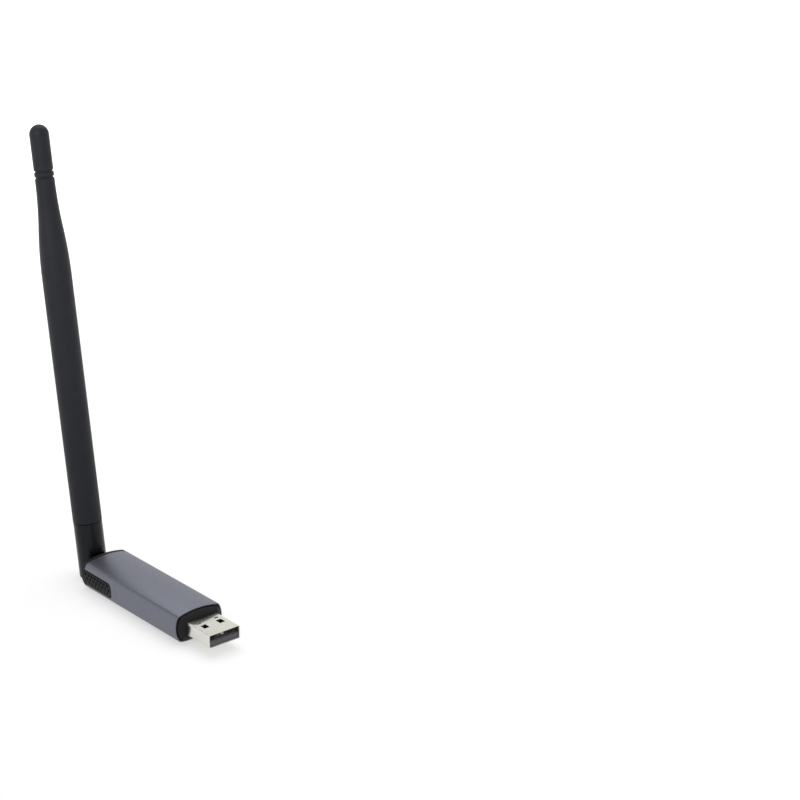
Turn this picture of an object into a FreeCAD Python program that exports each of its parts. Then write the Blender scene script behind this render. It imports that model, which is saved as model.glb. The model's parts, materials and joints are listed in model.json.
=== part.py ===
import FreeCAD, Part
import math
import os
from FreeCAD import Vector

# A smart home radio stick: a USB plug, an extruded aluminium case and a folding whip antenna.
# Millimetres. +Z is up and +X is the way the plug points. The origin is on the surface that the
# stick lies on, under the middle of the case. The antenna is drawn as it stands at rest.

# Case: one length of aluminium extrusion
SLEEVE_LENGTH = 52.3
SLEEVE_WIDTH = 18.4
SLEEVE_HEIGHT = 10.5
SLEEVE_WALL = 1.0
CROWN_RADIUS = 30.0
SIDE_RADIUS = 8.0
BELLY_RADIUS = 10.0
BASE_FLAT_WIDTH = 9.0
CREASE_RADIUS = 1.5
END_BREAK = 0.2
NOTCH_LENGTH = 16.05
NOTCH_TOP = 7.6
NOTCH_BOTTOM = 2.1
NOTCH_CORNER = 2.4

# Rails inside the case that hold the board's long edges
RAIL_GRIP = 0.7
RAIL_THICKNESS = 0.6

# Clearances between pieces that seat in each other or run past each other
SEAT_FIT = 0.05
BOARD_FIT = 0.1
SHADOW_GAP = 0.4
HINGE_SIDE_GAP = 0.3
PIN_RUNNING_FIT = 0.05
KNUCKLE_GAP = 0.35
LEAD_FIT = 0.1

# How far a cutting block runs past the face that it cuts
OVERCUT = 1.0

# Plug: the standard metal shell, its plastic tongue and its four contacts
PLUG_WIDTH = 12.0
PLUG_HEIGHT = 4.5
PLUG_STEEL = 0.3
PLUG_CORNER = 0.6
PLUG_LIP_BEVEL = 0.2
PLUG_LENGTH = 18.8
PLUG_EXPOSED = 12.4
WINDOW_LENGTH = 2.5
WINDOW_WIDTH = 2.0
WINDOW_SETBACK = 6.4
WINDOW_SPACING = 6.1
SLIT_LENGTH = 0.75
SLIT_WIDTH = 1.5
SLIT_SETBACK = 9.2
SLIT_SPACING = 6.8
TAB_LENGTH = 1.8
TAB_BELOW_BOARD = 0.3
TAB_SETBACK = 0.6
TONGUE_SIDE_GAP = 0.15
TONGUE_THICKNESS = 1.9
TONGUE_SETBACK = 0.5
TONGUE_NOSE = 0.3
TONGUE_ROOT = 1.0
CONTACT_WIDTH = 1.0
CONTACT_THICKNESS = 0.25
POWER_CONTACT_OFFSET = 3.5
DATA_CONTACT_OFFSET = 1.0
POWER_CONTACT_SETBACK = 1.2
DATA_CONTACT_SETBACK = 2.2
CONTACT_FOOT = 1.2

# Front bezel
BEZEL_PROUD = 1.6
BEZEL_INSERT = 2.4
BEZEL_FLANGE_INSET = 0.4
BEZEL_BREAK = 0.6

# End cap: flange, grip panels in the side windows, core and hinge lug
CAP_FLANGE = 1.7
CAP_FLANGE_INSET = 0.05
CAP_FLANGE_BREAK = 0.6
FLANGE_GROOVE = 0.3
CAP_SEAT = 2.4
CAP_BACK_WALL = 2.75
GRIP_SINK = 0.1
HOLLOW_WIDTH = 12.2
HOLLOW_ROOF = 1.2
HOLLOW_ROUND = 1.0
LEDGE_WIDTH = 1.0
HOLLOW_FLOOR_THICKNESS = 0.6
DIMPLE_PITCH = 1.82
DIMPLE_ROW_PITCH = 1.35
DIMPLE_ROWS = 3
DIMPLE_LENGTH = 0.95
DIMPLE_HEIGHT = 1.05
DIMPLE_DEPTH = 0.45
DIMPLE_FRONT_MARGIN = 1.1
DIMPLE_REAR_MARGIN = 0.7
DIMPLE_TOP_MARGIN = 0.9
LUG_WIDTH = 4.4
LUG_RADIUS = 3.2
LUG_ROOT_FLARE = 0.6
FORK_CLEARANCE = 2.1
LEAD_OVER_PIN = 2.0

# Antenna base, its pin and the whip's cover
LEAN = 7.7
BASE_DIAMETER = 9.7
KNUCKLE_RADIUS = 5.0
BASE_LENGTH = 14.2
SPIGOT_DIAMETER = 7.0
SPIGOT_LENGTH = 7.0
SEAM_BREAK = 0.3
PIN_DIAMETER = 2.0
PIN_FLOOR = 1.0
PIN_RECESS = 0.4
LEAD_BORE = 2.0
BOOT_DIAMETER = 9.8
BOOT_BORE_BEYOND_FEED = 10.0
BOOT_TAPER_LENGTH = 32.1
BOOT_TIP_LENGTH = 18.1
BOOT_TIP_BORE = 1.4
TIP_DIAMETER = 6.4
ANTENNA_LENGTH = 148.7
GROOVE_HALF_WIDTH = 0.45
GROOVE_DEPTH = 0.4
GROOVE_SPACING = 2.0

# Inside the whip
ANTENNA_LEAD_DIAMETER = 1.8
FEED_TUBE_DIAMETER = 5.2
FEED_TUBE_WALL = 0.4
FEED_TUBE_ROOM = 0.5
FEED_TUBE_LENGTH = 29.0
FEED_HEIGHT = 78.0
FEED_STUB = 1.0
RADIATOR_DIAMETER = 1.2
RADIATOR_TIP_COVER = 11.7

# Board and what is soldered to it
BOARD_THICKNESS = 1.0
BOARD_NOSE_MARGIN = 0.2
BOARD_TAIL_ROOM = 4.4
CAN_LENGTH = 12.0
CAN_WIDTH = 11.0
CAN_HEIGHT = 1.8
CAN_WALL = 0.2
CAN_ROUND = 0.6
CAN_GAP = 1.4
RADIO_CHIP_SIZE = 6.0
RADIO_CHIP_HEIGHT = 0.85
RADIO_CHIP_OFFSET = -1.6
BRIDGE_CHIP_SIZE = 4.0
BRIDGE_CHIP_HEIGHT = 0.8
BRIDGE_CHIP_GAP = 2.6
CRYSTAL_LENGTH = 2.0
CRYSTAL_WIDTH = 1.6
CRYSTAL_HEIGHT = 0.5
CRYSTAL_GAP = 0.9
REGULATOR_LENGTH = 2.9
REGULATOR_WIDTH = 1.6
REGULATOR_HEIGHT = 1.1
REGULATOR_OFFSET = 4.6
LEG_WIDTH = 0.4
LEG_THICKNESS = 0.15
LEG_REACH = 0.6
LEG_PITCH = 0.95
PASSIVE_LENGTH = 1.0
PASSIVE_WIDTH = 0.5
PASSIVE_HEIGHT = 0.5
PASSIVE_PITCH = 1.3

# Coax socket, coax plug and the lead inside the case
SOCKET_SIZE = 2.6
SOCKET_BASE = 0.35
SOCKET_RING_DIAMETER = 2.0
SOCKET_RING_WALL = 0.15
SOCKET_RING_HEIGHT = 0.9
SOCKET_PIN_DIAMETER = 0.5
SOCKET_FROM_WALL = 10.9
PLUG_CAP_DIAMETER = 2.6
PLUG_CAP_ROOF = 0.2
CRIMP_LENGTH = 2.2
CRIMP_WIDTH = 1.5
CASE_LEAD_DIAMETER = 1.2
CASE_LEAD_RUN = 1.8
CASE_LEAD_CLIMB = 4.0

# Places that follow from the sizes above
MID = SLEEVE_HEIGHT / 2
SLEEVE_FRONT = SLEEVE_LENGTH / 2
SLEEVE_REAR = -SLEEVE_LENGTH / 2
NOTCH_FRONT = SLEEVE_REAR + NOTCH_LENGTH
BEZEL_FACE = SLEEVE_FRONT + BEZEL_PROUD
BEZEL_BACK = SLEEVE_FRONT - BEZEL_INSERT
PLUG_MOUTH = BEZEL_FACE + PLUG_EXPOSED
PLUG_REAR = PLUG_MOUTH - PLUG_LENGTH
PLUG_BOTTOM = MID - PLUG_HEIGHT / 2
PLUG_TOP = MID + PLUG_HEIGHT / 2
BOARD_TOP = PLUG_BOTTOM
BOARD_BOTTOM = BOARD_TOP - BOARD_THICKNESS
CAP_REAR = SLEEVE_REAR - CAP_FLANGE
CAP_FRONT = NOTCH_FRONT + CAP_SEAT
HOLLOW_REAR = CAP_REAR + CAP_BACK_WALL
HOLLOW_TOP = SLEEVE_HEIGHT - SLEEVE_WALL - SEAT_FIT - HOLLOW_ROOF
HOLLOW_FLOOR = SLEEVE_WALL + SEAT_FIT + HOLLOW_FLOOR_THICKNESS
SIDE_ROOM = math.sqrt((SIDE_RADIUS - SLEEVE_WALL) ** 2 - (MID - BOARD_BOTTOM) ** 2)
BOARD_WIDTH = 2 * (SLEEVE_WIDTH / 2 - SIDE_RADIUS + SIDE_ROOM - BOARD_FIT)
BOARD_NOSE_WIDTH = PLUG_WIDTH + 2 * BOARD_NOSE_MARGIN
BOARD_TAIL_WIDTH = HOLLOW_WIDTH - 2 * BOARD_FIT
TONGUE_WIDTH = PLUG_WIDTH - 2 * PLUG_STEEL - 2 * TONGUE_SIDE_GAP
BOARD_SHOULDER = CAP_FRONT + BOARD_FIT
BOARD_TAIL_END = HOLLOW_REAR + BOARD_TAIL_ROOM
HINGE_X = CAP_REAR - KNUCKLE_RADIUS - FORK_CLEARANCE
TONGUE_TOP = PLUG_BOTTOM + PLUG_STEEL + TONGUE_THICKNESS
CAN_REAR = BOARD_SHOULDER + CAN_GAP
CAN_FRONT = CAN_REAR + CAN_LENGTH
CAN_MIDDLE = (CAN_REAR + CAN_FRONT) / 2
BRIDGE_X = CAN_FRONT + BRIDGE_CHIP_GAP + BRIDGE_CHIP_SIZE / 2
SOCKET_X = HOLLOW_REAR + SOCKET_FROM_WALL
CASE_LEAD_START = SOCKET_X - PLUG_CAP_DIAMETER / 2 - CRIMP_LENGTH
CASE_LEAD_LOW = BOARD_TOP + SOCKET_BASE + CASE_LEAD_DIAMETER / 2
CASE_LEAD_HIGH = MID + LEAD_OVER_PIN
BOOT_BORE = FEED_TUBE_DIAMETER + 2 * FEED_TUBE_ROOM
BOOT_BORE_END = FEED_HEIGHT + BOOT_BORE_BEYOND_FEED
BOOT_TAPER_END = ANTENNA_LENGTH - BOOT_TIP_LENGTH
BOOT_TAPER_START = BOOT_TAPER_END - BOOT_TAPER_LENGTH
RADIATOR_FOOT = FEED_HEIGHT + FEED_STUB
RADIATOR_LENGTH = ANTENNA_LENGTH - RADIATOR_TIP_COVER - RADIATOR_FOOT


def box(x0, x1, y0, y1, z0, z1):
    """A block between two corners."""
    return Part.makeBox(x1 - x0, y1 - y0, z1 - z0, Vector(x0, y0, z0))


def rod(diameter, length, base, direction):
    """A round bar from its base along a direction."""
    return Part.makeCylinder(diameter / 2, length, base, direction)


def edges_where(shape, test):
    """The edges whose middle point passes a test."""
    chosen = []
    for edge in shape.Edges:
        middle = edge.valueAt((edge.FirstParameter + edge.LastParameter) / 2)
        if test(edge, middle):
            chosen.append(edge)
    return chosen


def circles_meet(centre_a, radius_a, centre_b, radius_b, upper):
    """Where two circles in the YZ plane cross: the outer crossing, in the upper or the lower half."""
    dy = centre_b[0] - centre_a[0]
    dz = centre_b[1] - centre_a[1]
    apart = math.hypot(dy, dz)
    along = (radius_a ** 2 - radius_b ** 2 + apart ** 2) / (2 * apart)
    across = math.sqrt(radius_a ** 2 - along ** 2)
    foot = (centre_a[0] + along * dy / apart, centre_a[1] + along * dz / apart)
    first = (foot[0] + across * dz / apart, foot[1] - across * dy / apart)
    second = (foot[0] - across * dz / apart, foot[1] + across * dy / apart)
    rightmost = [point for point in (first, second) if point[0] > 0]
    return max(rightmost, key=lambda point: point[1] if upper else -point[1])


def section_corners(inset):
    """The upper and lower corner of the case's outline on its +Y side, drawn in by inset."""
    crown = (0.0, SLEEVE_HEIGHT - CROWN_RADIUS)
    side = (SLEEVE_WIDTH / 2 - SIDE_RADIUS, MID)
    belly = (BASE_FLAT_WIDTH / 2, BELLY_RADIUS)
    side_radius = SIDE_RADIUS - inset
    top = circles_meet(crown, CROWN_RADIUS - inset, side, side_radius, True)
    bottom = circles_meet(belly, BELLY_RADIUS - inset, side, side_radius, False)
    return top, bottom


def section_wire(x, inset):
    """The case's outline at x: a domed top, bowed sides and a belly with a flat middle."""
    top, bottom = section_corners(inset)
    flat = BASE_FLAT_WIDTH / 2
    turn = math.atan2(bottom[0] - flat, BELLY_RADIUS - bottom[1]) / 2
    belly_radius = BELLY_RADIUS - inset
    belly = (flat + belly_radius * math.sin(turn), BELLY_RADIUS - belly_radius * math.cos(turn))

    def at(y, z):
        return Vector(x, y, z)

    half = SLEEVE_WIDTH / 2 - inset
    edges = [
        Part.Arc(at(-top[0], top[1]), at(0, SLEEVE_HEIGHT - inset), at(*top)).toShape(),
        Part.Arc(at(*top), at(half, MID), at(*bottom)).toShape(),
        Part.Arc(at(*bottom), at(*belly), at(flat, inset)).toShape(),
        Part.LineSegment(at(flat, inset), at(-flat, inset)).toShape(),
        Part.Arc(at(-flat, inset), at(-belly[0], belly[1]), at(-bottom[0], bottom[1])).toShape(),
        Part.Arc(at(-bottom[0], bottom[1]), at(-half, MID), at(-top[0], top[1])).toShape(),
    ]
    return Part.Wire(edges)


def section_prism(inset, x0, x1):
    """A bar with the case's outline, drawn in by inset, with its four long creases rounded."""
    bar = Part.Face(section_wire(x0, inset)).extrude(Vector(x1 - x0, 0, 0))
    corners = section_corners(inset)

    def is_crease(edge, middle):
        on_corner = any(
            math.hypot(abs(middle.y) - y, middle.z - z) < 0.01 for y, z in corners
        )
        return on_corner and abs(middle.x - (x0 + x1) / 2) < 0.01

    creases = edges_where(bar, is_crease)
    return bar.makeFillet(CREASE_RADIUS - min(inset, CREASE_RADIUS / 2), creases)


def rails(growth, x0, x1):
    """The ledges under the board's long edges and the ribs over them, on both sides of the case."""
    inner = BOARD_WIDTH / 2 - RAIL_GRIP - growth
    rib_bottom = BOARD_TOP + BOARD_FIT - growth
    rib_top = BOARD_TOP + BOARD_FIT + RAIL_THICKNESS + growth
    pieces = []
    for side in (-1, 1):
        near = min(side * inner, side * SLEEVE_WIDTH / 2)
        far = max(side * inner, side * SLEEVE_WIDTH / 2)
        pieces.append(box(x0, x1, near, far, 0, BOARD_BOTTOM + growth))
        pieces.append(box(x0, x1, near, far, rib_bottom, rib_top))
    return pieces[0].fuse(pieces[1:]).common(section_prism(SLEEVE_WALL / 2, x0, x1))


def notch_block(growth, x0, y_half):
    """The bar that cuts both side windows, drawn in by growth, with its front corners rounded."""
    front = NOTCH_FRONT - growth
    top = NOTCH_TOP - growth
    bottom = NOTCH_BOTTOM + growth
    block = box(x0, front, -y_half, y_half, bottom, top)

    def is_corner(edge, middle):
        at_level = min(abs(middle.z - top), abs(middle.z - bottom)) < 0.01
        return at_level and abs(middle.x - front) < 0.01

    return block.makeFillet(NOTCH_CORNER - growth, edges_where(block, is_corner))


def make_sleeve():
    """The extruded tube with its rails, its ends' sharp edges broken and its side windows milled."""
    outer = section_prism(0, SLEEVE_REAR, SLEEVE_FRONT)

    def is_end_edge(edge, middle):
        at_end = min(abs(middle.x - SLEEVE_REAR), abs(middle.x - SLEEVE_FRONT))
        return at_end < 0.001

    outer = outer.makeChamfer(END_BREAK, edges_where(outer, is_end_edge))
    cavity = section_prism(SLEEVE_WALL, SLEEVE_REAR - OVERCUT, SLEEVE_FRONT + OVERCUT)
    tube = outer.cut(cavity).fuse(rails(0, SLEEVE_REAR, SLEEVE_FRONT))
    notch = notch_block(0, SLEEVE_REAR - OVERCUT, SLEEVE_WIDTH)
    return tube.cut(notch).removeSplitter()


def make_front_bezel():
    """The plug's moulded frame: a seat inside the case and a bevelled flange over the case's end."""
    flange = section_prism(BEZEL_FLANGE_INSET, SLEEVE_FRONT, BEZEL_FACE)

    def is_rim(edge, middle):
        return abs(middle.x - BEZEL_FACE) < 0.001

    flange = flange.makeChamfer(BEZEL_BREAK, edges_where(flange, is_rim))
    seat = section_prism(SLEEVE_WALL + SEAT_FIT, BEZEL_BACK, SLEEVE_FRONT)
    seat = seat.cut(rails(SEAT_FIT, BEZEL_BACK - OVERCUT, SLEEVE_FRONT))
    bezel = flange.fuse(seat)
    half = PLUG_WIDTH / 2 + SEAT_FIT
    bezel = bezel.cut(box(BEZEL_BACK - OVERCUT, BEZEL_FACE + OVERCUT, -half, half,
                          PLUG_BOTTOM - SEAT_FIT, PLUG_TOP + SEAT_FIT))
    nose = BOARD_NOSE_WIDTH / 2 + BOARD_FIT
    bezel = bezel.cut(box(BEZEL_BACK - OVERCUT, SLEEVE_FRONT, -nose, nose,
                          BOARD_BOTTOM - SEAT_FIT, BOARD_TOP + SEAT_FIT))
    return bezel.removeSplitter()


def dimple(x, z, side):
    """One lozenge pocket in a grip panel."""
    surface = SLEEVE_WIDTH / 2 - SIDE_RADIUS + math.sqrt((SIDE_RADIUS - GRIP_SINK) ** 2 - (z - MID) ** 2)
    floor = side * (surface - DIMPLE_DEPTH)
    corners = [
        Vector(x - DIMPLE_LENGTH / 2, floor, z),
        Vector(x, floor, z - DIMPLE_HEIGHT / 2),
        Vector(x + DIMPLE_LENGTH / 2, floor, z),
        Vector(x, floor, z + DIMPLE_HEIGHT / 2),
    ]
    outline = Part.makePolygon(corners + corners[:1])
    return Part.Face(outline).extrude(Vector(0, side * 2 * DIMPLE_DEPTH, 0))


def dimples():
    """Staggered rows of lozenge pockets over both grip panels."""
    pockets = []
    first = SLEEVE_REAR + DIMPLE_REAR_MARGIN
    last = NOTCH_FRONT - SHADOW_GAP - DIMPLE_FRONT_MARGIN
    top = NOTCH_TOP - SHADOW_GAP - DIMPLE_TOP_MARGIN
    for row in range(DIMPLE_ROWS):
        z = top - row * DIMPLE_ROW_PITCH
        start = first + (row % 2) * DIMPLE_PITCH / 2
        count = int((last - start) / DIMPLE_PITCH + 0.001) + 1
        for column in range(count):
            for side in (-1, 1):
                pockets.append(dimple(start + column * DIMPLE_PITCH, z, side))
    return Part.makeCompound(pockets)


def cap_hollow():
    """The end cap's inside: a pocket over the board's tail and a shallower one between its ledges."""
    half = HOLLOW_WIDTH / 2
    upper = box(HOLLOW_REAR, CAP_FRONT + OVERCUT, -half, half, BOARD_BOTTOM, HOLLOW_TOP)

    def is_top_edge(edge, middle):
        return abs(middle.z - HOLLOW_TOP) < 0.001 and abs(abs(middle.y) - half) < 0.001

    upper = upper.makeFillet(HOLLOW_ROUND, edges_where(upper, is_top_edge))
    lower = box(HOLLOW_REAR, CAP_FRONT + OVERCUT, LEDGE_WIDTH - half, half - LEDGE_WIDTH,
                HOLLOW_FLOOR, BOARD_BOTTOM + BOARD_THICKNESS / 2)
    return upper.fuse(lower)


def hinge_lug():
    """The single ear behind the end cap that the antenna's fork straddles, with a flared root."""
    root = CAP_REAR + CAP_FLANGE / 2
    half = LUG_WIDTH / 2
    bar = box(HINGE_X, root, -half, half, MID - LUG_RADIUS, MID + LUG_RADIUS)
    end = rod(2 * LUG_RADIUS, LUG_WIDTH, Vector(HINGE_X, -half, MID), Vector(0, 1, 0))
    wide = half + LUG_ROOT_FLARE
    flare = box(CAP_REAR - LUG_ROOT_FLARE, root, -wide, wide, MID - LUG_RADIUS, MID + LUG_RADIUS)

    def is_flare_edge(edge, middle):
        at_wide_side = abs(abs(middle.y) - wide) < 0.001
        return at_wide_side and abs(middle.x - CAP_REAR + LUG_ROOT_FLARE) < 0.001

    flare = flare.makeChamfer(LUG_ROOT_FLARE, edges_where(flare, is_flare_edge))
    return bar.fuse([end, flare])


def make_end_cap():
    """The moulded rear end: flange, core inside the case, grip panels in its windows and hinge lug."""
    flange_front = SLEEVE_REAR - FLANGE_GROOVE
    flange = section_prism(CAP_FLANGE_INSET, CAP_REAR, flange_front)

    def is_rear_rim(edge, middle):
        return abs(middle.x - CAP_REAR) < 0.001

    flange = flange.makeChamfer(CAP_FLANGE_BREAK, edges_where(flange, is_rear_rim))
    seat = section_prism(SLEEVE_WALL / 2, flange_front, SLEEVE_REAR)
    core = section_prism(SLEEVE_WALL + SEAT_FIT, SLEEVE_REAR, CAP_FRONT)
    rail_room = rails(SEAT_FIT, SLEEVE_REAR, CAP_FRONT + OVERCUT)
    core = core.cut(rail_room.cut(notch_block(SEAT_FIT, SLEEVE_REAR - OVERCUT, SLEEVE_WIDTH)))
    grips = section_prism(GRIP_SINK, flange_front, NOTCH_FRONT)
    grips = grips.common(notch_block(SHADOW_GAP, SLEEVE_REAR - OVERCUT, SLEEVE_WIDTH))
    cap = flange.fuse([seat, core, grips, hinge_lug()]).removeSplitter()
    cap = cap.cut(cap_hollow()).cut(dimples())
    pin_bore = rod(PIN_DIAMETER + 2 * PIN_RUNNING_FIT, LUG_WIDTH + 2 * OVERCUT,
                   Vector(HINGE_X, -LUG_WIDTH / 2 - OVERCUT, MID), Vector(0, 1, 0))
    lead_hole = rod(CASE_LEAD_DIAMETER + 2 * LEAD_FIT, HOLLOW_REAR - HINGE_X + OVERCUT,
                    Vector(HINGE_X, 0, CASE_LEAD_HIGH), Vector(1, 0, 0))
    trough_half = CASE_LEAD_DIAMETER / 2 + LEAD_FIT
    trough = box(HINGE_X - 2 * LUG_RADIUS, HINGE_X + CASE_LEAD_DIAMETER, -trough_half, trough_half,
                 CASE_LEAD_HIGH - trough_half, MID + 2 * LUG_RADIUS)
    return cap.cut([pin_bore, lead_hole, trough])


def shell_profile(x, inset, drop):
    """The plug's rounded rectangle at x, drawn in by inset."""
    half = PLUG_WIDTH / 2 - inset
    low = PLUG_BOTTOM + inset
    high = PLUG_TOP - inset
    block = box(x, x + drop, -half, half, low, high)

    def is_long_edge(edge, middle):
        return abs(middle.x - (x + drop / 2)) < 0.001 and len(edge.Vertexes) == 2

    return block.makeFillet(PLUG_CORNER - inset, edges_where(block, is_long_edge))


def make_usb_shell():
    """The folded steel shell: open at both ends, with latch windows, slits and two board tabs."""
    shell = shell_profile(PLUG_REAR, 0, PLUG_LENGTH)
    shell = shell.cut(shell_profile(PLUG_REAR - OVERCUT, PLUG_STEEL, PLUG_LENGTH + 2 * OVERCUT))
    inner_half = PLUG_WIDTH / 2 - PLUG_STEEL
    inner_height = PLUG_HEIGHT / 2 - PLUG_STEEL

    def is_inner_lip(edge, middle):
        inside = abs(middle.y) < inner_half + 0.001 and abs(middle.z - MID) < inner_height + 0.001
        return inside and abs(middle.x - PLUG_MOUTH) < 0.001

    shell = shell.makeChamfer(PLUG_LIP_BEVEL, edges_where(shell, is_inner_lip))
    for side in (-1, 1):
        window_y = side * WINDOW_SPACING / 2
        window_x = PLUG_MOUTH - WINDOW_SETBACK
        window = box(window_x - WINDOW_LENGTH / 2, window_x + WINDOW_LENGTH / 2,
                     window_y - WINDOW_WIDTH / 2, window_y + WINDOW_WIDTH / 2,
                     PLUG_BOTTOM - OVERCUT, PLUG_TOP + OVERCUT)
        slit_y = side * SLIT_SPACING / 2
        slit_x = PLUG_MOUTH - SLIT_SETBACK
        slit = box(slit_x - SLIT_LENGTH / 2, slit_x + SLIT_LENGTH / 2,
                   slit_y - SLIT_WIDTH / 2, slit_y + SLIT_WIDTH / 2, MID, PLUG_TOP + OVERCUT)
        shell = shell.cut([window, slit])
        shell = shell.fuse(board_tab(side, 0))
    return shell.removeSplitter()


def board_tab(side, growth):
    """A tab of the plug's shell that stands down through the board, or its slot, grown a little."""
    outer = side * (PLUG_WIDTH / 2 + growth)
    inner = side * (PLUG_WIDTH / 2 - PLUG_STEEL - growth)
    start = PLUG_REAR + TAB_SETBACK
    return box(start - growth, start + TAB_LENGTH + growth, min(outer, inner), max(outer, inner),
               BOARD_BOTTOM - TAB_BELOW_BOARD - growth, PLUG_BOTTOM + PLUG_CORNER + PLUG_STEEL)


def contact_places():
    """Each contact's place across the plug, and how far its tip stands back from the mouth."""
    return [
        (-POWER_CONTACT_OFFSET, POWER_CONTACT_SETBACK),
        (-DATA_CONTACT_OFFSET, DATA_CONTACT_SETBACK),
        (DATA_CONTACT_OFFSET, DATA_CONTACT_SETBACK),
        (POWER_CONTACT_OFFSET, POWER_CONTACT_SETBACK),
    ]


def make_usb_insulator():
    """The plug's plastic: a block that fills the shell behind and a tongue along its lower half."""
    block = shell_profile(PLUG_REAR, PLUG_STEEL, BEZEL_FACE - PLUG_REAR)
    front = PLUG_MOUTH - TONGUE_SETBACK
    tongue = box(BEZEL_FACE - TONGUE_ROOT, front, -TONGUE_WIDTH / 2, TONGUE_WIDTH / 2,
                 PLUG_BOTTOM + PLUG_STEEL, TONGUE_TOP)

    def is_nose(edge, middle):
        return abs(middle.x - front) < 0.001 and abs(middle.z - TONGUE_TOP) < 0.001

    def is_keel(edge, middle):
        return abs(middle.z - PLUG_BOTTOM - PLUG_STEEL) < 0.001 and abs(middle.y) > TONGUE_WIDTH / 2 - 0.001

    tongue = tongue.makeChamfer(TONGUE_NOSE, edges_where(tongue, is_nose))
    tongue = tongue.makeFillet(PLUG_CORNER - PLUG_STEEL, edges_where(tongue, is_keel))
    body = block.fuse(tongue).removeSplitter()
    for y, setback in contact_places():
        body = body.cut(box(PLUG_REAR - OVERCUT, PLUG_MOUTH - setback, y - CONTACT_WIDTH / 2,
                            y + CONTACT_WIDTH / 2, TONGUE_TOP - CONTACT_THICKNESS, TONGUE_TOP))
    return body


def make_usb_contacts():
    """Four bent strips: a blade let into the tongue, a leg behind the shell and a foot on the board."""
    strips = []
    for y, setback in contact_places():
        near = y - CONTACT_WIDTH / 2
        far = y + CONTACT_WIDTH / 2
        back = PLUG_REAR - CONTACT_THICKNESS
        blade = box(back, PLUG_MOUTH - setback, near, far, TONGUE_TOP - CONTACT_THICKNESS, TONGUE_TOP)
        leg = box(back, PLUG_REAR, near, far, BOARD_TOP, TONGUE_TOP)
        foot = box(back - CONTACT_FOOT, PLUG_REAR, near, far, BOARD_TOP, BOARD_TOP + CONTACT_THICKNESS)
        strips.append(blade.fuse([leg, foot]).removeSplitter())
    return Part.makeCompound(strips)


def make_circuit_board():
    """The board: a nose under the plug, full width in the case's rails and a tail in the end cap."""
    steps = [
        (BOARD_TAIL_END, BOARD_SHOULDER, BOARD_TAIL_WIDTH),
        (BOARD_SHOULDER, BEZEL_BACK - BOARD_FIT, BOARD_WIDTH),
        (BEZEL_BACK - BOARD_FIT, SLEEVE_FRONT - BOARD_FIT, BOARD_NOSE_WIDTH),
    ]
    parts = [box(x0, x1, -w / 2, w / 2, BOARD_BOTTOM, BOARD_TOP) for x0, x1, w in steps]
    board = parts[0].fuse(parts[1:]).removeSplitter()
    slots = [board_tab(side, SEAT_FIT) for side in (-1, 1)]
    return board.cut(slots)


def make_shield_can():
    """A tin lid over the radio chip with rounded corners, open below."""
    half = CAN_WIDTH / 2
    top = BOARD_TOP + CAN_HEIGHT
    lid = box(CAN_REAR, CAN_FRONT, -half, half, BOARD_TOP, top)

    def is_corner(edge, middle):
        return abs(edge.Vertexes[0].Z - edge.Vertexes[1].Z) > 0.001

    lid = lid.makeFillet(CAN_ROUND, edges_where(lid, is_corner))
    inside = box(CAN_REAR + CAN_WALL, CAN_FRONT - CAN_WALL, CAN_WALL - half, half - CAN_WALL,
                 BOARD_TOP - OVERCUT, top - CAN_WALL)

    inside = inside.makeFillet(CAN_ROUND - CAN_WALL, edges_where(inside, is_corner))
    return lid.cut(inside)


def chip(x, y, size, height):
    """A flat leadless chip with its first corner marked by a chamfer."""
    block = box(x - size / 2, x + size / 2, y - size / 2, y + size / 2, BOARD_TOP, BOARD_TOP + height)

    def is_first_corner(edge, middle):
        return middle.x < x - size / 2 + 0.001 and middle.y < y - size / 2 + 0.001

    return block.makeChamfer(size / 12, edges_where(block, is_first_corner))


def make_radio_chip():
    """The radio chip under the shield can."""
    return chip(CAN_MIDDLE + RADIO_CHIP_OFFSET, 0, RADIO_CHIP_SIZE, RADIO_CHIP_HEIGHT)


def make_usb_bridge_chip():
    """The chip that joins the plug's data lines to the radio chip."""
    return chip(BRIDGE_X, 0, BRIDGE_CHIP_SIZE, BRIDGE_CHIP_HEIGHT)


def make_crystal():
    """The radio's clock crystal, beside the radio chip under the shield can."""
    start = CAN_MIDDLE + RADIO_CHIP_OFFSET + RADIO_CHIP_SIZE / 2 + CRYSTAL_GAP
    half = CRYSTAL_WIDTH / 2
    return box(start, start + CRYSTAL_LENGTH, -half, half, BOARD_TOP, BOARD_TOP + CRYSTAL_HEIGHT)


def make_voltage_regulator():
    """A five-legged regulator: its body stands over bent legs."""
    x = BRIDGE_X
    y = REGULATOR_OFFSET
    low = BOARD_TOP + LEG_THICKNESS
    body = box(x - REGULATOR_LENGTH / 2, x + REGULATOR_LENGTH / 2, y - REGULATOR_WIDTH / 2,
               y + REGULATOR_WIDTH / 2, low, BOARD_TOP + REGULATOR_HEIGHT)
    legs = []
    for side, places in ((-1, (-1, 0, 1)), (1, (-1, 1))):
        for place in places:
            middle = x + place * LEG_PITCH
            tip = y + side * (REGULATOR_WIDTH / 2 + LEG_REACH)
            root = y + side * (REGULATOR_WIDTH / 2 - LEG_REACH)
            legs.append(box(middle - LEG_WIDTH / 2, middle + LEG_WIDTH / 2, min(tip, root),
                            max(tip, root), BOARD_TOP, low + LEG_THICKNESS))
    return body.fuse(legs).removeSplitter()


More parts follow.
